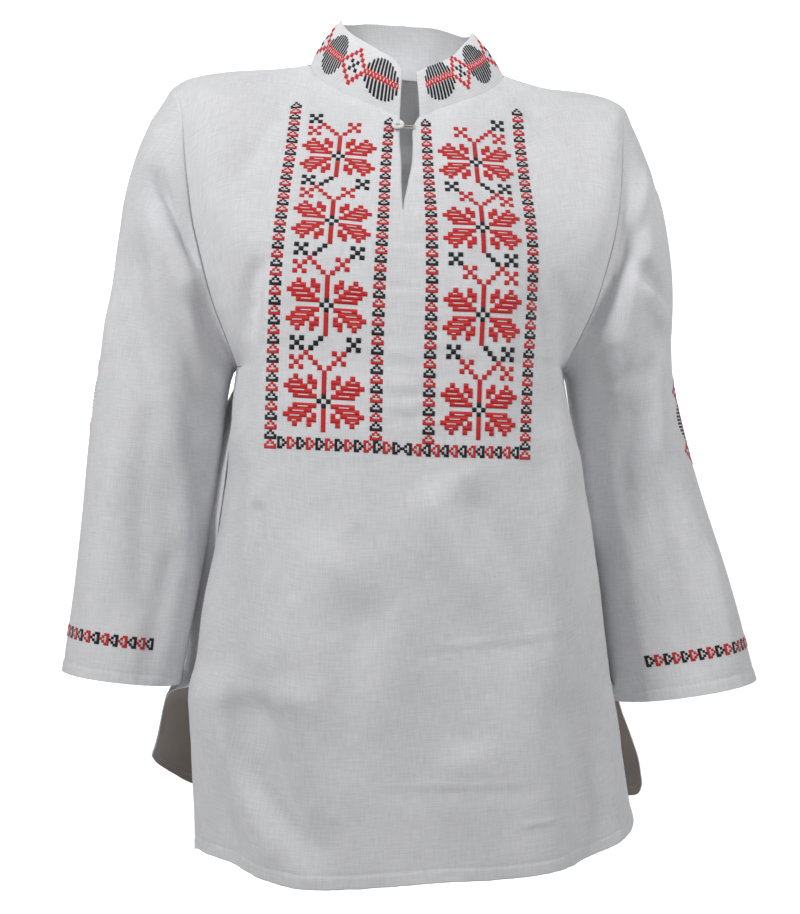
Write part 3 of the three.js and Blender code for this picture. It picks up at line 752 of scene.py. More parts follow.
def closed_tube(name: str, rings: np.ndarray) -> bpy.types.Object:
    """Rings joined by quads, with a fan of triangles to the middle of each end ring, turned so
    that the sum of corner products, the volume, is positive.

    Args:
        name: the piece's name.
        rings: points by ring and place round it, mm.

    Returns:
        The object.
    """
    rows, around = rings.shape[:2]
    index = np.arange(rows * around).reshape(rows, around)
    index = np.concatenate([index, index[:, :1]], axis=1)
    ends = np.full((around, 2), rows * around) + np.arange(2)
    caps = np.concatenate([np.stack([index[0, 1:], index[0, :-1], ends[:, 0]], -1),
                           np.stack([index[-1, :-1], index[-1, 1:], ends[:, 1]], -1)])
    skin = quads(index)
    points = np.concatenate([rings.reshape(-1, 3), rings[[0, -1]].mean(axis=1)])
    wide = np.linalg.norm(np.diff(rings[:, :2], axis=1), axis=-1).max()
    along = distances(rings.mean(axis=1))
    flat = np.stack(np.broadcast_arrays(along[:, None], np.arange(around + 1) * wide), -1)
    corner = points[skin]
    volume = np.sum(corner[:, 0] * np.cross(corner[:, 1], corner[:, 2]))
    volume += np.sum(corner[:, 0] * np.cross(corner[:, 2], corner[:, 3]))
    tip = points[caps]
    volume += np.sum(tip[:, 0] * np.cross(tip[:, 1], tip[:, 2]))
    if volume < 0:
        skin, caps = skin[:, ::-1], caps[:, ::-1]
    return make_object(name, points, [skin, caps], [quads(flat), np.zeros((len(caps) * 3, 2))])


def swept(path: np.ndarray, side: np.ndarray, round_: np.ndarray) -> np.ndarray:
    """Rings of a profile carried along a path: each is turned by the path's direction and one
    fixed side direction.

    Args:
        path: points of the path, mm.
        side: direction that is kept across the profile.
        round_: profile by ring and place round it, two measures each, mm.

    Returns:
        The rings.
    """
    way = unit(np.gradient(path, axis=0))
    across = unit(side - way * np.sum(way * side, -1, keepdims=True))
    over = np.cross(way, across)
    return path[:, None] + across[:, None] * round_[..., :1] + over[:, None] * round_[..., 1:]


def smooth_path(spots: np.ndarray, count: int) -> np.ndarray:
    """Catmull-Rom curve through spots at even shares of them.

    Args:
        spots: points, mm.
        count: points of the result.

    Returns:
        The curve's points.
    """
    table = Table("t x y z", *[(k, *spot) for k, spot in enumerate(spots)])
    at = np.linspace(0, len(spots) - 1, count)
    return np.stack([table.read(name, at) for name in "xyz"], -1)


def keep_piece(piece: bpy.types.Object, finish: bpy.types.Material, slot: str,
               *nodes: str) -> bpy.types.Object:
    """Gives a piece its material, rides it on the part and lets it stand for CAD nodes.

    Args:
        piece: the object.
        finish: its material.
        slot: not used.
        nodes: the CAD nodes that it replaces.

    Returns:
        The piece.
    """
    piece.data.materials.append(finish)
    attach(piece, "root")
    if nodes:
        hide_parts(*nodes)
    LOG.info("%s: %d points, %d faces", piece.name, len(piece.data.vertices), len(piece.data.polygons))
    return piece


# ------------------------------------------------------------------ finishes
WAVE_SCALE = 0.314159         # scale of a wave texture whose bands lie 1 apart


class Nodes:
    """Small helper that adds shader nodes with their inputs and links."""

    def __init__(self, name: str) -> None:
        """Starts a material with a Principled shader.

        Args:
            name: the material's name.
        """
        self.material = bpy.data.materials.new(name)
        self.material.use_nodes = True
        self.tree = self.material.node_tree
        self.shader = next(n for n in self.tree.nodes if n.type == "BSDF_PRINCIPLED")

    def add(self, kind: str, settings: dict | None = None, **inputs: object) -> bpy.types.Node:
        """Adds a node, sets its properties, and sets or links its inputs.

        Args:
            kind: node type without the ShaderNode prefix.
            settings: properties of the node.
            inputs: values or output sockets by input name, underscores for spaces; in0 and so
                on name an input by its number.

        Returns:
            The node.
        """
        node = self.tree.nodes.new("ShaderNode" + kind)
        for key, value in (settings or {}).items():
            setattr(node, key, value)
        for key, value in inputs.items():
            socket = node.inputs[int(key[2:])] if key[:2] == "in" and key[2:].isdigit() \
                else node.inputs[key.replace("_", " ")]
            if isinstance(value, bpy.types.NodeSocket):
                self.tree.links.new(value, socket)
            else:
                socket.default_value = value
        return node

    def math(self, operation: str, a: object, b: object = 0.0) -> bpy.types.NodeSocket:
        """Math node of two values.

        Args:
            operation: Blender's name of the operation.
            a: first value or socket.
            b: second value or socket.

        Returns:
            The result's socket.
        """
        return self.add("Math", {"operation": operation}, in0=a, in1=b).outputs[0]

    def feed(self, **inputs: object) -> None:
        """Sets or links the shader's inputs.

        Args:
            inputs: values or sockets by input name, underscores for spaces.
        """
        for key, value in inputs.items():
            socket = self.shader.inputs[key.replace("_", " ")]
            if isinstance(value, bpy.types.NodeSocket):
                self.tree.links.new(value, socket)
            else:
                socket.default_value = value


@dataclass(frozen=True)
class CottonFinish:
    """Plain-woven cotton: two crossed thread ripples, slubs, soft sheen and faint unevenness; when given a
    shaded colour it also carries painted shade that darkens it below a height.
    """

    name: str = "cotton"
    light: tuple = (0.85, 0.85, 0.875, 1)
    dull: tuple = (0.66, 0.665, 0.685, 1)
    pitch: float = 0.62
    # painted shade: the shaded colour is mixed in below shaded_below (object height, m) over shaded_over,
    # standing in for the shadow inside the back's tails
    shaded: tuple | None = None
    shaded_below: float = -0.54
    shaded_over: float = 0.06

    def material(self) -> bpy.types.Material:
        """Builds the node tree.

        Returns:
            The material.
        """
        n = Nodes(self.name)
        uv = n.add("UVMap", {"uv_map": "cloth"}).outputs[0]
        place = n.add("TexCoord").outputs["Object"]
        period = WAVE_SCALE / (self.pitch * MM)
        threads, streaks = [], []
        for way, slub in (("X", (60, 900, 1)), ("Y", (900, 60, 1))):
            wave = n.add("TexWave", {"bands_direction": way}, Vector=uv, Scale=period,
                         Distortion=0.6, Detail=1.0, Detail_Scale=0.7)
            stretch = n.add("Mapping", Vector=uv, Scale=slub)
            lumps = n.add("TexNoise", Vector=stretch.outputs[0], Scale=1.0, Detail=2.0)
            threads.append(n.math("MULTIPLY", wave.outputs["Fac"], lumps.outputs["Fac"]))
            streaks.append(lumps.outputs["Fac"])
        weave = n.math("ADD", threads[0], threads[1])
        fine = n.add("Bump", Strength=0.55, Distance=0.00025, Height=weave)
        crumple = n.add("TexNoise", Vector=place, Scale=55.0, Detail=4.0, Roughness=0.55)
        soft = n.add("Bump", Strength=0.35, Distance=0.0015, Height=crumple.outputs["Fac"],
                     Normal=fine.outputs[0])
        patches = n.add("TexNoise", Vector=place, Scale=9.0, Detail=3.0)
        uneven = n.math("MULTIPLY", n.math("SUBTRACT", n.math("ADD", *streaks), 1.0), 0.9)
        depth = n.math("ADD", n.math("MULTIPLY", weave, 0.5), 0.75)
        spread = n.math("MULTIPLY", patches.outputs["Fac"], depth)
        amount = n.math("ADD", spread, uneven)
        tint = n.add("Mix", {"data_type": "RGBA"}, in0=amount, in6=self.light, in7=self.dull)
        # painted shade: lower down, the tint runs into the shaded colour where the tails' insides lie in
        # shadow
        if self.shaded:
            high = n.add("SeparateXYZ", Vector=place).outputs["Z"]
            low = n.add("MapRange", Value=high, From_Min=self.shaded_below,
                        From_Max=self.shaded_below - self.shaded_over)
            tint = n.add("Mix", {"data_type": "RGBA"}, in0=low.outputs[0], in6=tint.outputs[2],
                         in7=self.shaded)
        rough = n.add("MapRange", Value=crumple.outputs["Fac"], To_Min=0.82, To_Max=0.96)
        n.feed(Base_Color=tint.outputs[2], Roughness=rough.outputs[0], Sheen_Weight=0.18,
               Sheen_Roughness=0.5, Specular_IOR_Level=0.25, Normal=soft.outputs[0])
        return n.material


@dataclass(frozen=True)
class ThreadFinish:
    """Embroidery thread: strands side by side along each bar, with a soft gloss; the colour darkens
    between the strands as painted shade in their grooves, and varies with a random mottle.
    """

    name: str
    colour: tuple
    dark_tone_and_groove_shade: tuple
    pitch: float = 0.42
    gloss: float = 0.45
    sheen: float = 0.25

    def material(self) -> bpy.types.Material:
        """Builds the node tree.

        Returns:
            The material.
        """
        n = Nodes(self.name)
        uv = n.add("UVMap", {"uv_map": "cloth"}).outputs[0]
        place = n.add("TexCoord").outputs["Object"]
        strands = n.add("TexWave", {"bands_direction": "X"}, Vector=uv, Distortion=0.4, Detail=1.0,
                        Scale=WAVE_SCALE / (self.pitch * MM))
        mottle = n.add("TexNoise", Vector=place, Scale=420.0, Detail=2.0)
        # painted shade: the tint runs to the darker colour between the strands, where their grooves lie in
        # shade, and also varies with the mottle
        depth = n.math("MULTIPLY", strands.outputs["Fac"], n.math("ADD", mottle.outputs["Fac"], 0.35))
        tint = n.add("Mix", {"data_type": "RGBA"}, in0=depth, in6=self.dark_tone_and_groove_shade, in7=self.colour)
        raised = n.add("Bump", Strength=0.6, Distance=0.0003, Height=strands.outputs["Fac"])
        rough = n.add("MapRange", Value=mottle.outputs["Fac"], To_Min=self.gloss,
                      To_Max=self.gloss + 0.2)
        n.feed(Base_Color=tint.outputs[2], Roughness=rough.outputs[0], Sheen_Weight=self.sheen,
               Sheen_Roughness=0.4, Specular_IOR_Level=0.35, Normal=raised.outputs[0])
        return n.material


@dataclass(frozen=True)
class PearlFinish:
    """Milky white button with faint clouds and a clean gloss."""

    name: str = "pearl_button"
    light: tuple = (0.86, 0.855, 0.83, 1)
    # the clouds' darker tone, the button's own colour
    dark_tone_and_groove_shade: tuple = (0.74, 0.74, 0.735, 1)

    def material(self) -> bpy.types.Material:
        """Builds the node tree.

        Returns:
            The material.
        """
        n = Nodes(self.name)
        place = n.add("TexCoord").outputs["Object"]
        clouds = n.add("TexNoise", Vector=place, Scale=260.0, Detail=3.0, Distortion=1.2)
        tint = n.add("Mix", {"data_type": "RGBA"}, in0=clouds.outputs["Fac"], in6=self.light,
                     in7=self.dark_tone_and_groove_shade)
        rough = n.add("MapRange", Value=clouds.outputs["Fac"], To_Min=0.16, To_Max=0.3)
        scratch = n.add("TexNoise", Vector=place, Scale=900.0, Detail=2.0)
        worn = n.add("Bump", Strength=0.12, Distance=0.0001, Height=scratch.outputs["Fac"])
        n.feed(Base_Color=tint.outputs[2], Roughness=rough.outputs[0], Coat_Weight=0.3,
               Coat_Roughness=0.12, Subsurface_Weight=0.1, Subsurface_Scale=0.002,
               Normal=worn.outputs[0])
        return n.material


@dataclass(frozen=True)
class StudioFinish:
    """Plain pale paper for the floor and the backdrop."""

    name: str = "studio_paper"
    shade: tuple = (0.93, 0.93, 0.93, 1)

    def material(self) -> bpy.types.Material:
        """Builds the node tree.

        Returns:
            The material.
        """
        n = Nodes(self.name)
        place = n.add("TexCoord").outputs["Object"]
        grain = n.add("TexNoise", Vector=place, Scale=40.0, Detail=4.0)
        raised = n.add("Bump", Strength=0.05, Distance=0.001, Height=grain.outputs["Fac"])
        n.feed(Base_Color=self.shade, Roughness=0.9, Normal=raised.outputs[0])
        return n.material


# ------------------------------------------------------------------ the cut pieces
@dataclass
class Panel:
    """Front or back of the body, as a thin shell of cotton with folds, puckers and a turned hem."""

    face: Face
    columns: int = 176
    upper: int = 100
    body: int = 100
    tail: int = 54
    wall: float = 0.9
    hem: float = 11.0
    vent: float = 8.0
    tail_length: float = 150.0
    slit_fade: float = 0.12
    loose: tuple = (25.0, 3.0)
    crease_share: float = 1.5
    hem_pucker: float = 1.1
    seam_dip: float = 0.6
    seam_wide: float = 2.2
    flat_size: tuple = (0.56, 0.74)
    flat_area: float = 0.33
    grid: ClothGrid = field(init=False)
    s: np.ndarray = field(init=False)
    rows: np.ndarray = field(init=False)

    def lines(self) -> tuple:
        """Columns and rows of the fine grid, closer together at the edges.

        Returns:
            s across and rows up.
        """
        s = np.linspace(-1, 1, self.columns + 1)
        close = np.array([0.9975, 0.994, 0.983, 0.9785, 0.976, 0.9735, 0.971, 0.9665])
        s = np.unique(np.round(np.concatenate([s[np.abs(s) < 0.962], [-1, 1], close, -close]), 6))
        vent = len(BODY_LEVELS.keys) - 1
        low = -np.linspace(vent + VENT_ROWS, vent, self.tail + 1)
        mid = np.linspace(-vent, 0, self.body + 1)[1:]
        high = np.linspace(0, UPPER_ROWS, self.upper + 1)[1:]
        near_hem = low[0] + np.array([4.5, 22.5, 36, 39.75, 43.5, 47.25, 51]) / self.tail_length
        near_neck = UPPER_ROWS - np.array([0.03, 0.08])
        return s, np.unique(np.concatenate([low, mid, high, near_hem, near_neck]))

    def creases(self, x: np.ndarray, z: np.ndarray, flat: np.ndarray) -> np.ndarray:
        """Height of the cloth's own folds and wrinkles over the large form, mm.

        Args:
            x: across, mm.
            z: up, mm.
            flat: places on the flat cloth, mm.

        Returns:
            Height at each point.
        """
        seed = PANEL_SEED[self.face]
        total = 2.2 * ripples(x, z, 110, 60, 66, seed) + 0.6 * ripples(x, z, 46, 22, 24, seed + 3)
        total = total + self.crease_share * fold_height(CREASES[self.face], x, z, 0.25, 0.3)
        hem_at = self.above_hem()
        total = total + self.hem_pucker * np.exp(-hem_at / self.hem) * ripples(x, z, 26, 5, 86, seed + 5)
        total = total + self.turned(hem_at, self.hem)
        side = np.minimum(flat[..., 0] - flat[:, :1, 0], flat[:, -1:, 0] - flat[..., 0])
        slits = ease((-self.rows[:, None] - len(BODY_LEVELS.keys) + 1) / 0.15)
        dip = self.seam_dip * np.exp(-((side / self.seam_wide) ** 2))
        total = total + slits * self.turned(side, self.vent) - (1 - slits) * dip
        if self.face is Face.FRONT:
            total = total + self.puckers(x, z)
        return total

    def flare(self, z: np.ndarray) -> np.ndarray:
        """Loose cloth of the back that stands out past the front: a bell across each side, behind
        the seam down to the vent and at the free edge below it.

        Args:
            z: up, mm.

        Returns:
            Height, mm.
        """
        free = ease((-565 - z) / 45)
        high = np.where(self.s < 0, *self.loose) * mix(1, 0.35, ease((-560 - z) / 80))
        off = (np.abs(self.s) - mix(0.76, 1.02, free)) / mix(0.12, 0.3, free)
        return high * np.exp(-(off**2)) * ease((-275 - z) / 80)

    def above_hem(self) -> np.ndarray:
        """Height of each row over the hem, by the tail's mean length, mm."""
        return (self.rows[:, None] - self.rows[0]) * self.tail_length / VENT_ROWS + 0 * self.s[None, :]

    @staticmethod
    def turned(at: np.ndarray, wide: float) -> np.ndarray:
        """Relief of a turned edge: the doubled cloth stands a little higher out to the stitch
        line, which is drawn in.

        Args:
            at: distance from the edge, mm.
            wide: distance of the stitch line from the edge, mm.

        Returns:
            Height, mm.
        """
        return 0.45 * ease((wide - at) / 2.4 + 0.5) - 0.4 * np.exp(-(((at - wide) / 1.5) ** 2))

    @staticmethod
    def puckers(x: np.ndarray, z: np.ndarray) -> np.ndarray:
        """Ripples that the sewn thread draws up: short level ones between the two inner border
        lines, finer ones round the whole embroidery.

        Args:
            x: across, mm.
            z: up, mm.

        Returns:
            Height, mm.
        """
        between = np.exp(-(((x + 8) / 19) ** 4)) * ease((z + 372) / 40) * ease((-150 - z) / 50)
        total = 1.0 * between * ripples(x, z, 60, 9, -3, 401)
        apart = np.maximum(np.maximum(np.abs(x + 8) - 122, -366 - z), 0)
        near = np.exp(-((apart / 22) ** 2))
        return total + near * (0.5 * ripples(x, z, 34, 10, 4, 411) + 0.35 * ripples(x, z, 9, 26, 0, 421))

    def shape(self) -> None:
        """Works out the grid: the smooth panel, its large folds and its creases."""
        form = PanelForm(self.face)
        s, rows = self.lines()
        smooth = form.smooth(s[None, :], rows[:, None])
        base = ClothGrid.from_surface(smooth, self.face is Face.BACK)
        out = base.normals.copy()
        out[..., 2] = 0
        base.normals = unit(out)
        calm = 1 - ease((np.abs(s) - 0.8) / 0.18)[None, :]
        x, z = smooth[..., 0], smooth[..., 2]
        large = base.lifted(calm * fold_height(PANEL_FOLDS[self.face], x, z))
        at_side = mix(0.45, 1, ease((1 - np.abs(s)) / 0.05))[None, :]
        at_neck = mix(0.2, 1, ease((UPPER_ROWS - rows) / 0.8))[:, None]
        self.s, self.rows = s, rows
        flare = self.flare(z) if self.face is Face.BACK else 0
        self.grid = large.lifted(self.creases(x, z, large.flat) * at_side * at_neck + flare)

    def build(self, finish: bpy.types.Material,
              inside_painted_shade: bpy.types.Material | None = None) -> bpy.types.Object:
        """Makes the shell; the front is open along its slit.

        Args:
            finish: the cotton.
            inside_painted_shade: finish of the inner side, where it differs: the cotton with painted shade
                that darkens it low on the tails.

        Returns:
            The piece.
        """
        self.shape()
        points, flat, s, rows = self.grid.points.copy(), self.grid.flat, self.s, self.rows
        count = points.shape[0] * points.shape[1]
        index = np.arange(count).reshape(points.shape[:2])
        if self.face is Face.FRONT:
            middle = len(s) // 2
            centre = points[:, middle, 2][:, None]
            shift = np.where(s[None, :] <= 0, SLIT_EDGES.read("right", centre),
                             SLIT_EDGES.read("left", centre))
            fade = 1 - ease(np.abs(s) / self.slit_fade)[None, :]
            other = points[:, middle].copy()
            points[..., 0] += shift * fade
            self.grid.points = points.copy()
            other[:, 0] += SLIT_EDGES.read("left", centre[:, 0])
            parted = np.nonzero(rows > SLIT_ROW)[0]
            right, left = index[:, : middle + 1], index[:, middle:].copy()
            left[parted, 0] = count + np.arange(len(parted))
            points = np.concatenate([points.reshape(-1, 3), other[parted]])
            faces = np.concatenate([quads(right), quads(left)])
            places = np.concatenate([quads(flat[:, : middle + 1]), quads(flat[:, middle:])])
        else:
            faces, places = quads(index)[:, ::-1], quads(flat)[:, ::-1]
        piece = make_object(f"{self.face.value}_cloth", points, [faces], [places])
        give_wall(piece, self.wall)
        keep_piece(piece, finish, "cotton", self.face.value)
        # the inner side takes the finish with painted shade low on the tails
        if inside_painted_shade:
            piece.data.materials.append(inside_painted_shade)
            piece.modifiers["wall"].material_offset = 1
        return piece


@dataclass
class Sleeve:
    """Three-quarter sleeve as a tube of cotton with its underarm seam, folds and turned hem."""

    side: Side
    around: int = 150
    down: int = 190
    wall: float = 0.9
    hem: float = 10.0
    last_row: float = 72.0
    crease_share: float = 1.4
    hem_pucker: float = 0.6
    cap_dip: float = 0.9
    seam_dip: float = 0.8
    tuck: float = 0.9
    flat_size: tuple = (0.42, 0.56)
    flat_area: float = 0.143
    grid: ClothGrid = field(init=False)
    rows: np.ndarray = field(init=False)

    def creases(self, turn: np.ndarray, down: np.ndarray, grid: ClothGrid) -> np.ndarray:
        """Finer folds and wrinkles of the sleeve, mm: waves of the turn close on themselves, the
        listed creases lie on the half that faces their side, and the edges are drawn in.

        Args:
            turn: share of the way round.
            down: share of the way down.
            grid: the sleeve without them.

        Returns:
            Height at each point.
        """
        seed = 71 + self.side.value
        around = 2 * math.pi * turn
        x, y, z = np.moveaxis(grid.points, -1, 0)
        wander = 0.8 * value_noise(down * 5, turn * 0, seed)
        total = 0.9 * np.sin(3 * around + 4.5 * down + wander) * np.sin(around * 2 + 1.1 + 3 * down)
        soft = ripples(z, np.abs(y) + 0.3 * x, 90, 36, 18, seed + 5)
        total = total + 1.3 * soft * np.abs(np.sin(around))
        for face, sign in ((Face.FRONT, -1), (Face.BACK, 1)):
            facing = ease(grid.normals[..., 1] * sign / 0.6 + 0.05)
            folds = fold_height(SLEEVE_CREASES[self.side, face], x, z, 0.3, 0.25)
            total = total + self.crease_share * facing * folds
        total = total * ease(down / 0.05)
        hem_at = (1 - down) * SLEEVE_ROWS * self.last_row + 0 * turn
        waves = np.sin(41 * around + 3 * np.sin(7 * around))
        total = total + self.hem_pucker * np.exp(-hem_at / self.hem) * waves
        total = total + Panel.turned(hem_at, self.hem)
        total = total - self.cap_dip * np.exp(-((down * SLEEVE_ROWS / 0.05) ** 2))
        return total - self.seam_dip * np.exp(-((np.minimum(turn, 1 - turn) * 300 / 2.6) ** 2))

    def shape(self) -> None:
        """Works out the grid, one column more than the quads round so that the seam closes, with
        its upper edge tucked under the panels."""
        turn = np.linspace(0, 1, self.around + 1)
        rows = SLEEVE_ROWS * np.linspace(1, 0, self.down + 1)
        close = (self.hem + np.array([-9.3, -3, -1.6, -0.8, 0, 0.8, 1.6, 3])) / self.last_row
        rows = np.unique(np.concatenate([rows, SLEEVE_ROWS - close, [0.02, 0.05, 0.1]]))[::-1]
        points = SleeveForm(self.side).surface(turn[None, :], rows[:, None])
        base = ClothGrid.from_surface(points, self.side is Side.LEFT)
        around = np.concatenate([points[:, -2:-1], points, points[:, 1:2]], axis=1)
        step = (around[:, 2:] - around[:, :-2]) / 2
        base.normals = -self.side.value * unit(np.cross(step, np.gradient(points, axis=0)))
        self.grid = base.lifted(self.creases(turn[None, :], rows[:, None] / SLEEVE_ROWS, base))
        self.rows = rows
        self.grid.points[-1, :, 0] -= self.side.value * self.tuck
        normals = self.grid.normals
        normals[:, 0] = normals[:, -1] = unit(normals[:, 0] + normals[:, -1])

    def build(self, finish: bpy.types.Material) -> bpy.types.Object:
        """Makes the tube.

        Args:
            finish: the cotton.

        Returns:
            The piece.
        """
        self.shape()
        points = self.grid.points[:, :-1]
        index = np.arange(points.shape[0] * points.shape[1]).reshape(points.shape[:2])
        index = np.concatenate([index, index[:, :1]], axis=1)
        faces, places = quads(index), quads(self.grid.flat)
        if self.side is Side.LEFT:
            faces, places = faces[:, ::-1], places[:, ::-1]
        name = f"sleeve_{self.side.name.lower()}"
        piece = make_object(name + "_cloth", points, [faces], [places])
        give_wall(piece, self.wall)
        return keep_piece(piece, finish, "cotton", name)


@dataclass
class Collar:
    """Stand collar, one doubled band from the right front edge round the back to the left."""

    around: int = 300
    up: int = 22
    wall: float = 1.5
    flat_size: tuple = (0.48, 0.052)
    flat_area: float = 0.0216
    pattern_middle: float = 28.0
    tuck_down: float = 0.5
    tuck_in: float = 0.35
    grid: ClothGrid = field(init=False)

    def neckline(self) -> np.ndarray:
        """Lower edge: the neckline of the front's right half, of the back, and of the front's left.

        Returns:
            Points along the edge at even steps.
        """
        front, back = PanelForm(Face.FRONT), PanelForm(Face.BACK)
        a = np.linspace(0, NECK_S, 90)
        right = front.smooth(-a, UPPER_ROWS)
        left = front.smooth(a[::-1], UPPER_ROWS)
        right[0, 0] += SLIT_EDGES.read("right", right[0, 2])
        left[-1, 0] += SLIT_EDGES.read("left", left[-1, 2])
        fade = 1 - ease(a / 0.12)
        right[1:, 0] += (SLIT_EDGES.read("right", right[0, 2]) * fade)[1:]
        left[:-1, 0] += (SLIT_EDGES.read("left", left[-1, 2]) * fade[::-1])[:-1]
        behind = back.smooth(np.linspace(-NECK_S, NECK_S, 180), UPPER_ROWS)
        line = np.concatenate([right, behind[1:-1], left])
        steps = np.linalg.norm(np.diff(line, axis=0), axis=1)
        keep = np.concatenate([[True], steps > 1e-6])
        line = line[keep]
        at = distances(line)
        even = np.linspace(0, at[-1], self.around + 1)
        return np.stack([np.interp(even, at, line[:, k]) for k in range(3)], -1)

    def shape(self) -> None:
        """Works out the grid: each column leans from the neckline in to the upper edge with a
        slight bulge."""
        base = self.neckline()
        share = np.linspace(0, 1, self.around + 1)
        high = COLLAR_HEIGHT.read("high", share)
        top = vectors(mix(NECK_MIDDLE_X, base[:, 0], COLLAR_TOP_X),
                      mix(COLLAR_MIDDLE_Y, base[:, 1], COLLAR_TOP_Y), base[:, 2] + high)
        out = unit(vectors(base[:, 0] - NECK_MIDDLE_X, base[:, 1] - COLLAR_MIDDLE_Y, 0.0))
        low = base - unit(top - base) * self.tuck_down - out * self.tuck_in
        up = np.concatenate([[0, 0.015, 0.04], np.linspace(0, 1, self.up + 1)[2:-1], [0.97, 0.99, 1]])
        up = up[:, None, None]
        points = mix(low[None], top[None], up) + out[None] * COLLAR_BULGE * np.sin(math.pi * up)
        self.grid = ClothGrid.from_surface(points, True)
        x, z = self.grid.flat[..., 0], self.grid.flat[..., 1]
        calm = np.sin(math.pi * np.clip(up[..., 0], 0, 1)) ** 0.5
        self.grid = self.grid.lifted(calm * 0.5 * ripples(x, z, 16, 26, 0, 131))

    def build(self, finish: bpy.types.Material) -> bpy.types.Object:
        """Makes the band.

        Args:
            finish: the cotton.

        Returns:
            The piece.
        """
        self.shape()
        points = self.grid.points
        index = np.arange(points.shape[0] * points.shape[1]).reshape(points.shape[:2])
        faces, places = quads(index)[:, ::-1], quads(self.grid.flat)[:, ::-1]
        piece = make_object("collar_cloth", points, [faces], [places])
        give_wall(piece, self.wall)
        return keep_piece(piece, finish, "cotton", "collar")


# ------------------------------------------------------------------ embroidery
CELL = 4.125                  # one cross-stitch block, mm
FINE = 2.06                   # one small block of the border triangles, mm


class Thread(Enum):
    """Colours of the embroidery thread."""

    RED = "thread_red"
    BLACK = "thread_black"
    WHITE = "thread_white"


# Where the four border lines of the front run: cells up from the lowest row, then across and
# up of each line on the front, mm
BORDER_LINES = Table(
    "v x1 z1 x2 z2 x3 z3 x4 z4",
    (0, -122.5, -354, -34, -358.5, 11, -361.5, 96.5, -363.5),
    (12, -121, -304.5, -33, -310.5, 12, -313.5, 99.5, -316),
    (24, -119.5, -255, -31.5, -261, 13.5, -264.5, 103, -266.5),
    (36, -117.5, -204.5, -29.5, -214, 15, -216.5, 106.5, -216),
    (44, -115, -174, -27.5, -184.5, 15.5, -186, 107.5, -184.5),
    (52, -112, -148.5, -25.5, -160, 15.5, -158, 106.5, -157.5),
    (60, -109, -124, -23.5, -136, 15, -134.5, 105, -132.5),
    (68, -105, -99.5, -21, -109.5, 15, -109.5, 104.5, -107),
    (76, -102, -75, -17.5, -82, 15.5, -83, 104, -82),
    (86, -98.5, -45.5, -13, -45.5, 16.5, -46, 104.5, -47.5),
)
LINE_CELLS = (-27.5, -5.5, 5.5, 27.5)
# Runs of blocks of a flower's quarter: row, first block, last block out from the stem
QUARTER_RUNS = (
    (1, 2, 6), (2, 3, 7), (3, 2, 2), (3, 4, 8), (4, 2, 3), (4, 5, 7), (5, 3, 3), (5, 6, 6),
)
# White veins of a quarter: height, from, to, in blocks
QUARTER_VEINS = ((1.2, 3.2, 5.4), (2.2, 4.1, 6.5), (3.2, 5.0, 7.1), (4.2, 5.65, 6.6))
# Width of a medallion's black bars and of its white links, as shares of the bars' pitch
DISC_BAR, DISC_LINK = 0.62, 0.34
# Runs of a border triangle: row up from the base, first and last small block, colour
TRIANGLE_RUNS = (
    (0, -2, 2, False), (1, -2, -2, False), (1, 2, 2, False), (1, -1, 1, True), (2, -1, -1, False),
    (2, 1, 1, False), (2, 0, 0, True), (3, 0, 0, False),
)


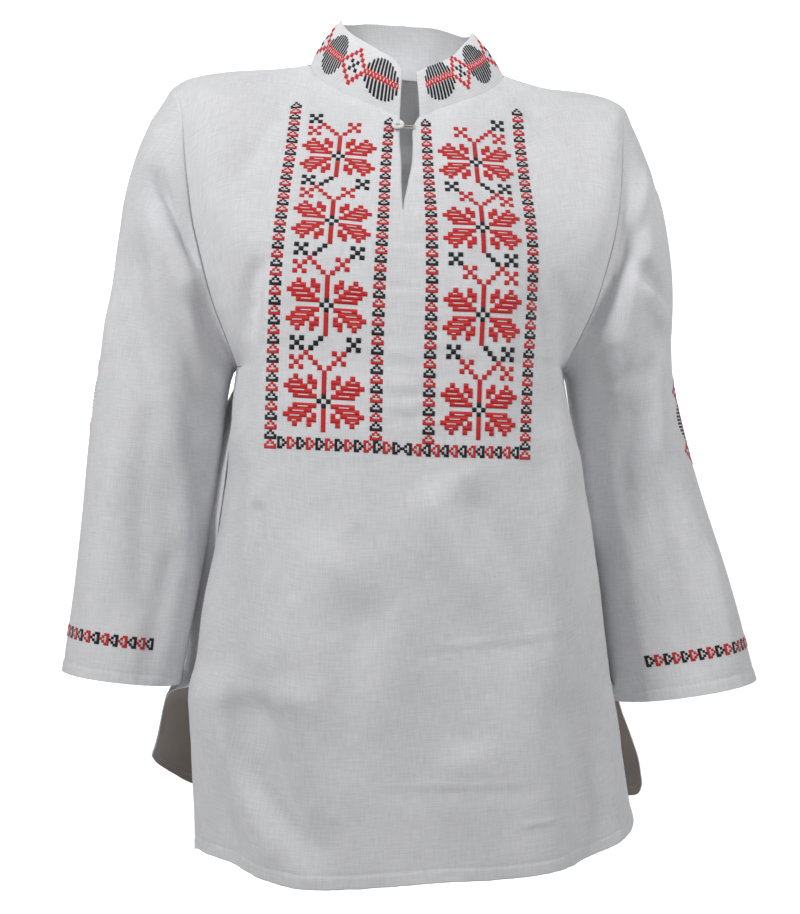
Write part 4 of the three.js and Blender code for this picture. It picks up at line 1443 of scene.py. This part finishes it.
@dataclass
class Pattern:
    """Bars of thread on flat cloth, each a centre, a length, a width and a turn, by colour."""

    bars: dict = field(default_factory=lambda: {colour: [] for colour in Thread})

    def bar(self, colour: Thread, u: float, v: float, long: float, wide: float,
            turn: float = 0) -> None:
        """Adds a bar.

        Args:
            colour: the thread.
            u: centre across, mm.
            v: centre up, mm.
            long: length, mm.
            wide: width, mm.
            turn: degrees that its length leans up from across.
        """
        self.bars[colour].append((u, v, long, wide, math.radians(turn)))

    def triangle(self, colour: Thread, u: float, v: float, turn: float) -> None:
        """Adds a border triangle of small blocks, hollow with a white mark.

        Args:
            colour: the thread of its outline.
            u: centre across, mm.
            v: centre up, mm.
            turn: degrees that its tip is turned from straight up.
        """
        c, s = math.cos(math.radians(turn)), math.sin(math.radians(turn))
        for row, first, last, hollow in TRIANGLE_RUNS:
            a, b = (first + last) / 2 * FINE, (row - 1.5) * FINE
            shade, size = (Thread.WHITE, 0.8) if hollow else (colour, 1.2)
            self.bar(shade, u + a * c - b * s, v + a * s + b * c, (last - first + size) * FINE,
                     FINE * size, turn)

    def border(self, u: float, v: float, count: int, turn: float, first: Thread) -> None:
        """Adds a row of triangles tip to base along the way that they point, colours by turns.

        Args:
            u: centre of the first triangle across, mm.
            v: the same up, mm.
            count: how many.
            turn: degrees that the row is turned from straight up.
            first: colour of the first.
        """
        other = Thread.BLACK if first is Thread.RED else Thread.RED
        s, c = math.sin(math.radians(turn)), math.cos(math.radians(turn))
        for k in range(count):
            step = 2 * CELL * k
            self.triangle(first if k % 2 == 0 else other, u - step * s, v + step * c, turn)

    def blocks(self, colour: Thread, u: float, v: float, places: tuple, flip: int) -> None:
        """Adds single blocks by their place in cells from a point.

        Args:
            colour: the thread.
            u: the point across, cells.
            v: the point up, cells.
            places: pairs of cells across and up.
            flip: 1, or -1 to mirror across.
        """
        for a, b in places:
            self.bar(colour, (u + flip * a) * CELL, (v + b) * CELL, CELL * 1.08, CELL * 1.08)

    def flower(self, u: float, v: float, flip: int, top: bool) -> None:
        """Adds a flower of four leaves on its stem, with the crosses and the branches over it.

        Args:
            u: its middle across, cells.
            v: its middle up, cells.
            flip: 1, or -1 to mirror the branches.
            top: whether it is the highest, which has fewer crosses.
        """
        for across in (-1, 1):
            for up in (-1, 1):
                for row, first, last in QUARTER_RUNS:
                    self.bar(Thread.RED, (u + across * (first + last) / 2) * CELL, (v + up * row) * CELL,
                             (last - first + 1.06) * CELL, CELL * 1.05)
                for high, start, end in QUARTER_VEINS:
                    self.bar(Thread.WHITE, (u + across * (start + end) / 2) * CELL, (v + up * high) * CELL,
                             (end - start) * CELL, 0.3 * CELL)
            self.bar(Thread.BLACK, (u + across) * CELL, v * CELL, CELL, CELL)
        for up in (-1, 1):
            self.bar(Thread.BLACK, u * CELL, (v + up) * CELL, CELL, CELL)
            self.bar(Thread.RED, u * CELL, (v + up * 4) * CELL, 5 * CELL, CELL, 90)
        cross = ((0, 0), (-1, -1), (1, 1), (-1, 1), (1, -1))
        self.blocks(Thread.RED, u, v, ((1, 7), (2, 8), (3, 9), (4, 10), (2, 10), (4, 8)), flip)
        self.blocks(Thread.RED, u, v, ((-1, 7), (-2, 8), (-3, 9), (-4, 10)), flip)
        self.blocks(Thread.RED, u, v, tuple((a - 6, b + 8) for a, b in cross), flip)
        self.blocks(Thread.BLACK, u, v, tuple((a - 6, b + 12) for a, b in cross), flip)
        if not top:
            self.blocks(Thread.BLACK, u, v, tuple((a + 6, b + 12) for a, b in cross), flip)
            self.blocks(Thread.BLACK, u, v, ((-3, 11), (-2, 12), (-1, 13)), flip)

    def medallion(self, u: float, v: float, turn: float = 0, half: float = 17.2,
                  high: float = 20.5) -> None:
        """Adds an oval of black bars across a red chain with white links.

        Args:
            u: its middle across, mm.
            v: its middle up, mm.
            turn: degrees that the chain leans up from across.
            half: half its length along the chain, mm.
            high: half its height across the chain, mm.
        """
        c, s = math.cos(math.radians(turn)), math.sin(math.radians(turn))

        def put(colour: Thread, a: float, b: float, long: float, wide: float, lean: float) -> None:
            """Bar at a place in the disc's own frame."""
            self.bar(colour, u + a * c - b * s, v + a * s + b * c, long, wide, turn + lean)

        pitch, chain = half / 5.1, 3.2
        for k in range(10):
            a = (k - 4.5) * pitch
            reach = high * math.sqrt(1 - (a / half) ** 2)
            for up in (-1, 1):
                put(Thread.BLACK, a, up * (reach + chain) / 2, reach - chain, DISC_BAR * pitch, 90)
            put(Thread.WHITE, a, 0, 3.6, DISC_LINK * pitch, 74 if k % 2 else 106)
            for up in (-1, 1):
                put(Thread.RED, a, up * 3.0, DISC_BAR * pitch, 1.6, 0)
        put(Thread.RED, 0, 0, 2 * half - 1, 5.2, 0)

    def diamond(self, u: float, v: float, turn: float = 0, half: float = 12.5,
                high: float = 16.8) -> None:
        """Adds a diamond of red blocks round a black cross.

        Args:
            u: its middle across, mm.
            v: its middle up, mm.
            turn: degrees that its short way leans up from across.
            half: half width, mm.
            high: half height, mm.
        """
        c, s = math.cos(math.radians(turn)), math.sin(math.radians(turn))
        places = [(i * half / 4, (4 - abs(i)) * high / 4) for i in range(-4, 5)]
        places += [(a, -b) for a, b in places[1:-1]]
        wide, tall = half / 4 + 0.4, high / 4 + 0.4
        for a, b in places:
            self.bar(Thread.RED, u + a * c - b * s, v + a * s + b * c, wide, tall, turn)
        for a, b in ((0, 0), (-1, 1), (1, 1), (-1, -1), (1, -1)):
            a, b = a * wide * 0.85, b * tall * 0.85
            self.bar(Thread.BLACK, u + a * c - b * s, v + a * s + b * c, wide * 0.85, tall * 0.85, turn)


@dataclass
class Embroidery:
    """Raised thread laid on a cut piece's grid through a map from flat places to grid places."""

    name: str
    pattern: Pattern
    grid: ClothGrid
    high: float = 0.5
    sunk: float = 0.4
    bevel: float = 0.18
    over: float = 1.25

    def locate(self, target: np.ndarray, fields: np.ndarray, start: np.ndarray) -> np.ndarray:
        """Newton steps on the grid until two of its measures have the wanted values.

        Args:
            target: wanted values, a pair a point.
            fields: the measures at the grid's points, a pair each.
            start: first guess of row and column.

        Returns:
            Row and column of each point.
        """
        rows, columns = fields.shape[:2]
        slopes = np.stack([np.gradient(fields, axis=0), np.gradient(fields, axis=1)], -1)
        at = start.copy()
        for _ in range(30):
            r, c = np.clip(at[:, 0], 0, rows - 1.001), np.clip(at[:, 1], 0, columns - 1.001)
            i, j = r.astype(int), c.astype(int)
            u, v = (r - i)[:, None], (c - j)[:, None]
            value = mix(mix(fields[i, j], fields[i, j + 1], v),
                        mix(fields[i + 1, j], fields[i + 1, j + 1], v), u)
            step = np.linalg.solve(slopes[i, j] + np.eye(2) * 1e-9, (target - value)[..., None])[..., 0]
            at = np.stack([r, c], -1) + np.clip(step, -6, 6)
        return np.stack([np.clip(at[:, 0], 0, rows - 1.001), np.clip(at[:, 1], 0, columns - 1.001)], -1)

    def place(self, flat: np.ndarray) -> np.ndarray:
        """Row and column of the grid for places of the pattern: where the grid's own flat
        measures, counted from its middle column and lowest row, are the same.

        Args:
            flat: places of the pattern, mm.

        Returns:
            Row and column of each place.
        """
        rows, columns = self.grid.flat.shape[:2]
        start = np.stack([np.full(len(flat), rows / 2), np.full(len(flat), columns / 2)], -1)
        return self.locate(flat, self.grid.flat, start)

    def build(self, finishes: dict) -> list:
        """Makes one piece for each colour: every bar is a small grid whose edge lies under the
        cloth and whose top is raised, rounded across and at its ends.

        Args:
            finishes: materials by thread.

        Returns:
            The pieces.
        """
        pieces = []
        for colour, bars in self.pattern.bars.items():
            if not bars:
                continue
            data = np.array(bars)
            counts = np.clip(np.ceil(data[:, 2] / 2.6).astype(int) + 2, 4, 12)
            points, faces, places, base = [], [], [], 0
            for count in np.unique(counts):
                group = data[counts == count]
                u, v, long, wide, lean = group.T[:, :, None, None]
                long, wide = long / 2, wide / 2
                middle = (long - self.bevel) * np.linspace(-1, 1, count - 2)[None, :, None]
                a = np.concatenate([-long - self.bevel, middle, long + self.bevel], axis=1)
                b = np.concatenate([-wide - self.bevel, self.bevel - wide, wide - self.bevel,
                                    wide + self.bevel], axis=2)
                raised = np.zeros((count, 4))
                raised[1:-1, 1:-1] = 1
                a, b = np.broadcast_arrays(a, b)
                c, s = np.cos(lean), np.sin(lean)
                flat = np.stack([u + a * c - b * s, v + a * s + b * c], -1)
                at = self.place(flat.reshape(-1, 2))
                on, out = self.grid.sample(at[:, 0], at[:, 1])
                lift = mix(-self.sunk, self.high * (self.over if colour is Thread.WHITE else 1.0),
                           np.broadcast_to(raised, a.shape).reshape(-1, 1))
                points.append(on + out * lift)
                index = np.arange(count * 4).reshape(count, 4)
                cell = quads(index)
                offsets = base + np.arange(len(group))[:, None, None] * count * 4
                faces.append((cell[None] + offsets).reshape(-1, 4))
                own = np.stack([a, b], -1).reshape(len(group), count, 4, 2)
                corners = np.stack([own[:, :-1, :-1], own[:, :-1, 1:], own[:, 1:, 1:],
                                    own[:, 1:, :-1]], axis=3)
                places.append(corners.reshape(-1, 4, 2))
                base += len(group) * count * 4
            points, faces, places = (np.concatenate(part) for part in (points, faces, places))
            corner = points[faces]
            facing = np.cross(corner[:, 1] - corner[:, 0], corner[:, 3] - corner[:, 0])
            wrong = np.sum(facing * self.outward(corner.mean(axis=1)), -1) < 0
            faces[wrong], places[wrong] = faces[wrong][:, ::-1], places[wrong][:, ::-1]
            piece = make_object(f"{self.name}_{colour.value}", points, [faces], [places])
            pieces.append(keep_piece(piece, finishes[colour], ""))
        return pieces

    def outward(self, middles: np.ndarray) -> np.ndarray:
        """Outward direction at each face, from the nearest of every sixth of the grid's own
        normals each way, found for a few thousand faces at a time.

        Args:
            middles: the faces' middles.

        Returns:
            The directions.
        """
        coarse = self.grid.points[::6, ::6].reshape(-1, 3)
        normals = self.grid.normals[::6, ::6].reshape(-1, 3)
        nearest = np.empty(len(middles), int)
        for start in range(0, len(middles), 4000):
            apart = middles[start:start + 4000, None] - coarse[None]
            nearest[start:start + 4000] = np.argmin((apart ** 2).sum(-1), axis=1)
        return normals[nearest]


@dataclass
class FrontEmbroidery(Embroidery):
    """The front's pattern: laid by the four border lines, straight across between them."""

    def place(self, flat: np.ndarray) -> np.ndarray:
        """Row and column of the front's grid for places of the pattern: each height is read
        from the border lines, then mixed straight between the two lines beside the place.

        Args:
            flat: places of the pattern, mm.

        Returns:
            Row and column of each place.
        """
        u, v = flat[:, 0] / CELL, flat[:, 1] / CELL
        held = np.clip(v, 0, 86)
        slope = (v - held) * CELL
        lines = np.array(LINE_CELLS)
        k = np.clip(np.searchsorted(lines, u) - 1, 0, 2)
        share = (u - lines[k]) / (lines[k + 1] - lines[k])
        xs = np.stack([BORDER_LINES.read(f"x{n}", held) for n in range(1, 5)], -1)
        zs = np.stack([BORDER_LINES.read(f"z{n}", held) for n in range(1, 5)], -1)
        pick = np.arange(len(u))
        x = mix(xs[pick, k], xs[pick, k + 1], share)
        z = mix(zs[pick, k], zs[pick, k + 1], share) + slope
        fields = self.grid.points[..., [0, 2]]
        rows, columns = fields.shape[:2]
        start = np.stack([rows * (0.22 + 0.78 * np.clip((z + 575) / 520, 0, 1)),
                          columns * (0.5 + 0.5 * np.clip((x + 5) / 200, -0.9, 0.9))], -1)
        return self.locate(np.stack([x, z], -1), fields, start)


@dataclass
class Seamwork:
    """Machine stitches along the turned edges, as short white bars."""

    pitch: float = 3.4
    long: float = 2.3
    wide: float = 0.55

    def line(self, chart: Pattern, across: np.ndarray, up: np.ndarray) -> None:
        """Adds stitches at an even pitch along a line.

        Args:
            chart: the pattern that takes them.
            across: the line's places across, mm.
            up: its places up, mm.
        """
        at = distances(np.stack([across, up], -1))
        even = np.arange(self.pitch, at[-1] - self.pitch, self.pitch)
        u, v = np.interp(even, at, across), np.interp(even, at, up)
        ahead = np.interp(even + 1, at, across) - u, np.interp(even + 1, at, up) - v
        for a, b, turn in zip(u, v, np.degrees(np.arctan2(ahead[1], ahead[0]))):
            chart.bar(Thread.WHITE, a, b, self.long, self.wide, turn)

    def panel(self, panel: Panel) -> Embroidery:
        """Stitches of a panel's hem and of its two vents.

        Args:
            panel: the built panel.

        Returns:
            The work, laid by distance from the hem row.
        """
        high = panel.above_hem()
        flat = np.stack([panel.grid.flat[..., 0], high], -1)
        chart = Pattern()
        row = int(np.argmin(np.abs(high[:, 0] - panel.hem)))
        self.line(chart, flat[row, 3:-3, 0], flat[row, 3:-3, 1] * 0 + panel.hem)
        rows = np.nonzero((high[:, 0] > panel.hem) & (high[:, 0] < panel.tail_length - 4))[0]
        self.line(chart, flat[rows, 0, 0] + panel.vent, high[rows, 0])
        self.line(chart, flat[rows, -1, 0] - panel.vent, high[rows, 0])
        laid = ClothGrid(panel.grid.points, panel.grid.normals, flat)
        return Embroidery(f"{panel.face.value}_stitches", chart, laid, 0.12, 0.3, 0.1)

    def sleeve(self, sleeve: Sleeve) -> Embroidery:
        """Stitches of a sleeve's hem.

        Args:
            sleeve: the built sleeve.

        Returns:
            The work, laid by distance from the hem row.
        """
        high = (SLEEVE_ROWS - sleeve.rows[:, None]) * sleeve.last_row + 0 * sleeve.grid.flat[..., 0]
        flat = np.stack([sleeve.grid.flat[..., 0], high], -1)
        laid = ClothGrid(sleeve.grid.points, sleeve.grid.normals, flat)
        chart = Pattern()
        row = int(np.argmin(np.abs(high[:, 0] - sleeve.hem)))
        self.line(chart, flat[row, 1:-1, 0], flat[row, 1:-1, 1] * 0 + sleeve.hem)
        return Embroidery(f"sleeve_{sleeve.side.name.lower()}_stitches", chart, laid, 0.12, 0.3, 0.1)


def front_pattern() -> Pattern:
    """Chart of the front: the lowest row, four border lines and two stems of four flowers.

    Returns:
        The pattern.
    """
    chart = Pattern()
    for u in (-27.5, 27.5):
        chart.border(u * CELL, -0.375 * CELL, 44, 0, Thread.RED)
    for u in (-5.5, 5.5):
        chart.border(u * CELL, 2.375 * CELL, 40, 0, Thread.RED)
    chart.border(-25 * CELL, 0, 13, -90, Thread.BLACK)
    chart.border(25 * CELL, 0, 13, 90, Thread.BLACK)
    for k in range(4):
        chart.flower(-16.5, 9 + 20 * k, 1, k == 3)
        chart.flower(16.5, 9 + 20 * k, -1, k == 3)
    return chart


def collar_pattern(length: float, middle: float) -> Pattern:
    """Chart of the collar: eight medallions with a diamond between each two, the wearer's right
    end first.

    Args:
        length: of the band at the pattern's height, mm.
        middle: height of the pattern's middle over the seam, mm.

    Returns:
        The pattern, counted from the middle of the back.
    """
    chart = Pattern()
    edges, steps = (22.0, 26.0), (60.0, 53.0)
    behind = np.linspace(edges[0] + steps[0], length - edges[1] - steps[1], 6)
    spots = np.concatenate([[edges[0]], behind, [length - edges[1]]]) - length / 2
    halves = (19.5, 13.4, 15.5, 15.5, 15.5, 15.5, 14.4, 17.4)
    for u, half in zip(spots, halves):
        chart.medallion(u, middle, 0, half)
    for k in range(len(spots) - 1):
        low, high = spots[k] + halves[k], spots[k + 1] - halves[k + 1]
        chart.diamond((low + high) / 2, middle, 0, (high - low) / 2 + 0.6)
    return chart


def sleeve_pattern(aside: float, hem_row: float, middle: float) -> Pattern:
    """Chart of a sleeve: a row of triangles over the hem that meet on a middle line, and a
    diamond, a medallion and a diamond up that line.

    Args:
        aside: how far the middle line lies to the front of the outer line, mm.
        hem_row: height of the row over the hem, mm.
        middle: height of the medallion over the hem, mm.

    Returns:
        The pattern, counted from the outer line.
    """
    chart = Pattern()
    for side in (-1, 1):
        chart.border(aside + side * 27 * CELL, hem_row, 14, 90 * side, Thread.BLACK)
    chart.medallion(aside, middle, 90, 17.2, 17.5)
    for up in (-1, 1):
        chart.diamond(aside, middle + up * 28.5, 90, 12.0, 15.0)
    return chart


# ------------------------------------------------------------------ button and loop
@dataclass
class Fastening:
    """Four-hole button on its thread shank at the slit, and the cord loop that goes round it."""

    radius: float = 5.7
    thick: float = 2.6
    hole: float = 0.62
    hole_out: float = 1.35
    hole_deep: float = 1.5
    shank_radius: float = 0.9
    shank_length: float = 2.0
    cord: float = 1.0
    reach: float = 16.0

    def axes(self) -> tuple:
        """Places and directions from the solids: out runs from the shank's middle to the button's.

        Returns:
            Middle of the shank, base of the button, out, across and up.
        """
        middles = [np.mean(np.array(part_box(node)), axis=0) / MM for node in ("button", "button_shank")]
        out = unit(middles[0] - middles[1])
        across = unit(np.array([1.0, 0, 0]) - out * out[0])
        return middles[1], middles[0] - out * self.thick / 2, out, across, np.cross(out, across)

    def face(self, x: np.ndarray, y: np.ndarray) -> np.ndarray:
        """Height of the button's face: a rim round a shallow dish, with a well at each hole.

        Args:
            x: across from the middle, mm.
            y: up from the middle, mm.

        Returns:
            Height over the base, mm.
        """
        share = np.hypot(x, y) / self.radius
        rim = Table("r h", (0, 0.7), (0.45, 0.7), (0.6, 0.8), (0.72, 0.99), (0.84, 1), (0.95, 0.86),
                    (1, 0.7))
        height = self.thick * rim.read("h", share)
        for turn in np.radians([45, 135, 225, 315]):
            hx, hy = self.hole_out * math.cos(turn), self.hole_out * math.sin(turn)
            well = ease((self.hole - np.hypot(x - hx, y - hy)) / 0.22 + 0.5)
            height = height - self.hole_deep * well
        return height

    def button(self, finish: bpy.types.Material) -> bpy.types.Object:
        """Makes the button: rings from the middle of the base round the rim to the middle of
        the face.

        Args:
            finish: the pearl.

        Returns:
            The piece.
        """
        _, base, out, across, up = self.axes()
        turn = np.linspace(0, 2 * math.pi, 73)[:-1]
        under = Table("t r h", (0, 0.02, 0), (1, 0.5, 0), (2, 0.82, 0), (3, 0.95, 0.14), (4, 1, 0.4))
        t = np.linspace(0, 4, 15)
        low = self.radius * under.read("r", t)[:, None]
        radii = np.concatenate([low, self.radius * np.linspace(1, 0.01, 44)[:, None]])
        x, y = radii * np.cos(turn), radii * np.sin(turn)
        height = self.face(x, y)
        height[:15] = self.thick * under.read("h", t)[:, None]
        rings = base + x[..., None] * across + y[..., None] * up + height[..., None] * out
        return keep_piece(closed_tube("pearl_button", rings), finish, "button", "button")

    def stitches(self, finish: bpy.types.Material) -> list:
        """Makes the threads between the holes, bowed over the dish.

        Args:
            finish: the thread.

        Returns:
            The pieces.
        """
        _, base, out, across, up = self.axes()
        turn = np.linspace(0, 2 * math.pi, 11)[:-1]
        out_to = self.hole_out * math.sin(math.pi / 4)
        pieces = []
        for number, (side, shift) in enumerate(((-1, -0.2), (-1, 0.2), (1, -0.2), (1, 0.2))):
            along = np.linspace(-1, 1, 13)
            rise = self.thick * 0.7 + 0.42 * (1 - along**2) - 0.5 * np.abs(along) ** 6
            path = (base + along[:, None] * (out_to + 0.1) * up + (side * out_to + shift) * across
                    + rise[:, None] * out)
            ring = 0.24 * np.stack([np.cos(turn), np.sin(turn)], -1)
            rings = swept(path, across, np.broadcast_to(ring, (13, 10, 2)))
            pieces.append(keep_piece(closed_tube(f"button_stitch_{number + 1}", rings), finish, "cord"))
        return pieces

    def shank(self, finish: bpy.types.Material) -> bpy.types.Object:
        """Makes the shank: a stem whose radius waves along a winding thread.

        Args:
            finish: the thread.

        Returns:
            The piece.
        """
        middle, _, out, across, _ = self.axes()
        along = np.linspace(-0.5, 0.5, 41) * self.shank_length
        turn = np.linspace(0, 2 * math.pi, 25)[:-1]
        wound = np.abs(np.sin(math.pi * along[:, None] / 0.4 + turn / 2))
        radius = self.shank_radius * (0.86 + 0.14 * wound)
        profile = np.stack([radius * np.cos(turn), radius * np.sin(turn)], -1)
        rings = swept(middle + along[:, None] * out, across, profile)
        return keep_piece(closed_tube("shank_thread", rings), finish, "cord", "button_shank")

    def loop(self, finish: bpy.types.Material) -> bpy.types.Object:
        """Makes the loop: a cord of two twisted strands through spots round the shank.

        Args:
            finish: the cord.

        Returns:
            The piece.
        """
        middle, _, out, _, _ = self.axes()
        across = np.array([1.0, 0, 0])
        up = unit(np.cross(out, across))
        r = self.reach
        upper = [(r, 1.5), (r * 0.6, 1.7), (1.5, 2.1), (-0.9, 1.6), (-1.9, 0)]
        spots = upper + [(a, -b) for a, b in upper[-2::-1]]
        path = smooth_path(np.array([middle + a * across + b * up for a, b in spots]), 130)
        turn = np.linspace(0, 2 * math.pi, 17)[:-1]
        length = distances(path)
        strands = np.abs(np.cos(turn - 2 * math.pi * length[:, None] / 2.6))
        radius = self.cord / 2 * (0.8 + 0.2 * strands)
        rings = swept(path, out, np.stack([radius * np.cos(turn), radius * np.sin(turn)], -1))
        return keep_piece(closed_tube("cord_loop", rings), finish, "cord", "button_loop")

    def build(self) -> None:
        """Makes the button, its threads and the loop with their finishes."""
        # each finish's second colour is painted shade in the grooves between strands
        thread = ThreadFinish("button_thread", (0.78, 0.75, 0.68, 1), (0.55, 0.52, 0.46, 1), 0.3)
        cord = ThreadFinish("loop_cord", (0.80, 0.76, 0.66, 1), (0.58, 0.53, 0.43, 1), 0.5)
        sewn, looped = thread.material(), cord.material()
        self.button(PearlFinish().material())
        self.stitches(sewn)
        self.shank(sewn)
        self.loop(looped)


# ------------------------------------------------------------------ studio
@dataclass
class Studio:
    """Pale floor and backdrop, soft light, and the camera's level view of the front."""

    yaw: float = 5.0
    away: float = 1400.0
    height: float = -367.0
    aside: float = -1.3
    focal: float = 1494.0
    frame: tuple = (800, 914)
    floor_z: float = -1450.0

    def camera(self) -> None:
        """Level camera: it stands back from the middle along the turned view, with a lens of
        36 mm times the focal length in pixels over the picture's long side."""
        turn = math.radians(self.yaw)
        lens = bpy.data.cameras.new("view")
        lens.sensor_width = 36
        lens.lens = 36 * self.focal / max(self.frame)
        lens.clip_end = 50
        eye = bpy.data.objects.new("view", lens)
        forward = np.array([math.sin(turn), math.cos(turn)])
        right = np.array([math.cos(turn), -math.sin(turn)])
        at = right * self.aside - forward * self.away
        eye.location = (at[0] * MM, at[1] * MM, self.height * MM)
        eye.rotation_euler = (math.pi / 2, 0, -turn)
        bpy.context.scene.collection.objects.link(eye)
        bpy.context.scene.camera = eye

    def backdrop(self) -> None:
        """Floor that curves up into a wall: a profile of depth and height swept across."""
        bend = np.linspace(0, math.pi / 2, 13)
        depth = np.concatenate([[-4000], 2600 + 900 * np.sin(bend), [3500]])
        rise = np.concatenate([[0], 900 * (1 - np.cos(bend)), [5200]])
        across = np.linspace(-5200, 5200, 9)
        points = vectors(across[None, :], depth[:, None], self.floor_z + rise[:, None])
        index = np.arange(points.shape[0] * points.shape[1]).reshape(points.shape[:2])
        sweep = make_object("studio_backdrop", points, [quads(index)], [quads(points[..., :2])])
        sweep.data.materials.append(StudioFinish().material())

    def lamp(self, name: str, at: tuple, aim: tuple, size: float, power: float) -> None:
        """Soft square light aimed at a point.

        Args:
            name: the light's name.
            at: its place, m.
            aim: the point that it faces, m.
            size: side of the square, m.
            power: watts.
        """
        light = bpy.data.lights.new(name, "AREA")
        light.size = size
        light.energy = power
        self.put_up(name, light, at, aim)

    @staticmethod
    def put_up(name: str, light: bpy.types.Light, at: tuple, aim: tuple) -> None:
        """Places a light and turns it to a point.

        Args:
            name: the light's name.
            light: the light.
            at: its place, m.
            aim: the point that it faces, m.
        """
        made = bpy.data.objects.new(name, light)
        way = np.array(at) - np.array(aim)
        made.location = at
        made.rotation_euler = (math.acos(way[2] / np.linalg.norm(way)), 0, math.atan2(way[0], -way[1]))
        bpy.context.scene.collection.objects.link(made)

    def neck_lamp(self, name: str, at: tuple, aim: tuple, cone: float, power: float) -> None:
        """Narrow soft-edged light that reaches into the neck opening.

        Args:
            name: the light's name.
            at: its place, m.
            aim: the point that it faces, m.
            cone: opening angle, degrees.
            power: watts.
        """
        light = bpy.data.lights.new(name, "SPOT")
        light.spot_size, light.spot_blend = math.radians(cone), 1.0
        light.shadow_soft_size = 0.06
        light.energy = power
        self.put_up(name, light, at, aim)

    def light(self) -> None:
        """Two soft lights from the upper sides, the first the stronger, a weak one from the front,
        a narrow one into the neck, one that turns its back on the blouse and lights the backdrop,
        and a dim pale surround."""
        middle = (0, 0, -0.35)
        self.lamp("key", (-1.25, -0.95, 0.75), middle, 0.4, 20)
        self.lamp("side", (1.3, -0.8, 0.7), middle, 0.4, 12.5)
        self.lamp("fill", (0.2, -1.7, 0.2), middle, 0.5, 4.5)
        self.neck_lamp("neck", (0.1, -0.9, 1.15), (0, 0.09, -0.08), 7.5, 40)
        self.lamp("wash", (0, 1.0, 1.7), (0, 3.5, 0.7), 2.4, 165)
        world = bpy.data.worlds.new("surround")
        world.use_nodes = True
        ground = world.node_tree.nodes["Background"]
        ground.inputs["Color"].default_value = (0.98, 0.98, 1.0, 1)
        ground.inputs["Strength"].default_value = 0.08
        bpy.context.scene.world = world
        bpy.context.scene.view_settings.view_transform = "Standard"

    def build(self) -> None:
        """Sets up the camera, the backdrop and the lights."""
        self.camera()
        self.backdrop()
        self.light()


def thread_finishes() -> dict:
    """Materials of the three embroidery threads.

    Returns:
        Materials by thread.
    """
    # second colour of each pair: painted shade in the grooves between strands
    colours = {
        Thread.RED: ((0.84, 0.034, 0.034, 1), (0.56, 0.014, 0.016, 1)),
        Thread.BLACK: ((0.014, 0.014, 0.02, 1), (0.004, 0.004, 0.007, 1)),
        Thread.WHITE: ((0.86, 0.86, 0.88, 1), (0.72, 0.72, 0.75, 1)),
    }
    return {thread: ThreadFinish(thread.value, *pair).material() for thread, pair in colours.items()}


def main() -> None:
    logging.basicConfig(level=logging.INFO, format="%(name)s: %(message)s")
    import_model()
    Studio().build()
    cotton = CottonFinish().material()
    front, back = Panel(Face.FRONT), Panel(Face.BACK, columns=150, upper=90, body=90, tail=46)
    sleeves = [Sleeve(Side.RIGHT), Sleeve(Side.LEFT)]
    collar = Collar()
    front_cloth = front.build(cotton)
    # painted shade: the back's inner side turns a dark warm grey below the tails' tops, standing in for
    # their shadow
    inside_painted_shade = CottonFinish("cotton_inside_painted_shade", shaded=(0.27, 0.235, 0.21, 1)).material()
    back_cloth = back.build(cotton, inside_painted_shade)
    sleeve_cloths = [sleeve.build(cotton) for sleeve in sleeves]
    collar_cloth = collar.build(cotton)
    threads = thread_finishes()
    front_work = FrontEmbroidery("front_work", front_pattern(), front.grid).build(threads)
    band = collar.grid.flat[len(collar.grid.flat) // 2, :, 0]
    even = np.broadcast_to(band[None], collar.grid.flat.shape[:2])
    flat = np.stack([even, collar.grid.flat[..., 1]], -1)
    laid = ClothGrid(collar.grid.points, collar.grid.normals, flat)
    chart = collar_pattern(band[-1] - band[0], collar.pattern_middle)
    collar_work = Embroidery("collar_work", chart, laid).build(threads)
    sleeve_work = [
        Embroidery(f"sleeve_{sleeve.side.name.lower()}_work", sleeve_pattern(aside, 37.0, 254.0),
                   sleeve.grid).build(threads)
        for sleeve, aside in zip(sleeves, (-10.0, 13.0))
    ]
    Fastening().build()
    sewing = Seamwork()
    front_work += sewing.panel(front).build(threads)
    back_work = sewing.panel(back).build(threads)
    for sleeve, work in zip(sleeves, sleeve_work):
        work += sewing.sleeve(sleeve).build(threads)


if __name__ == "__main__":
    main()
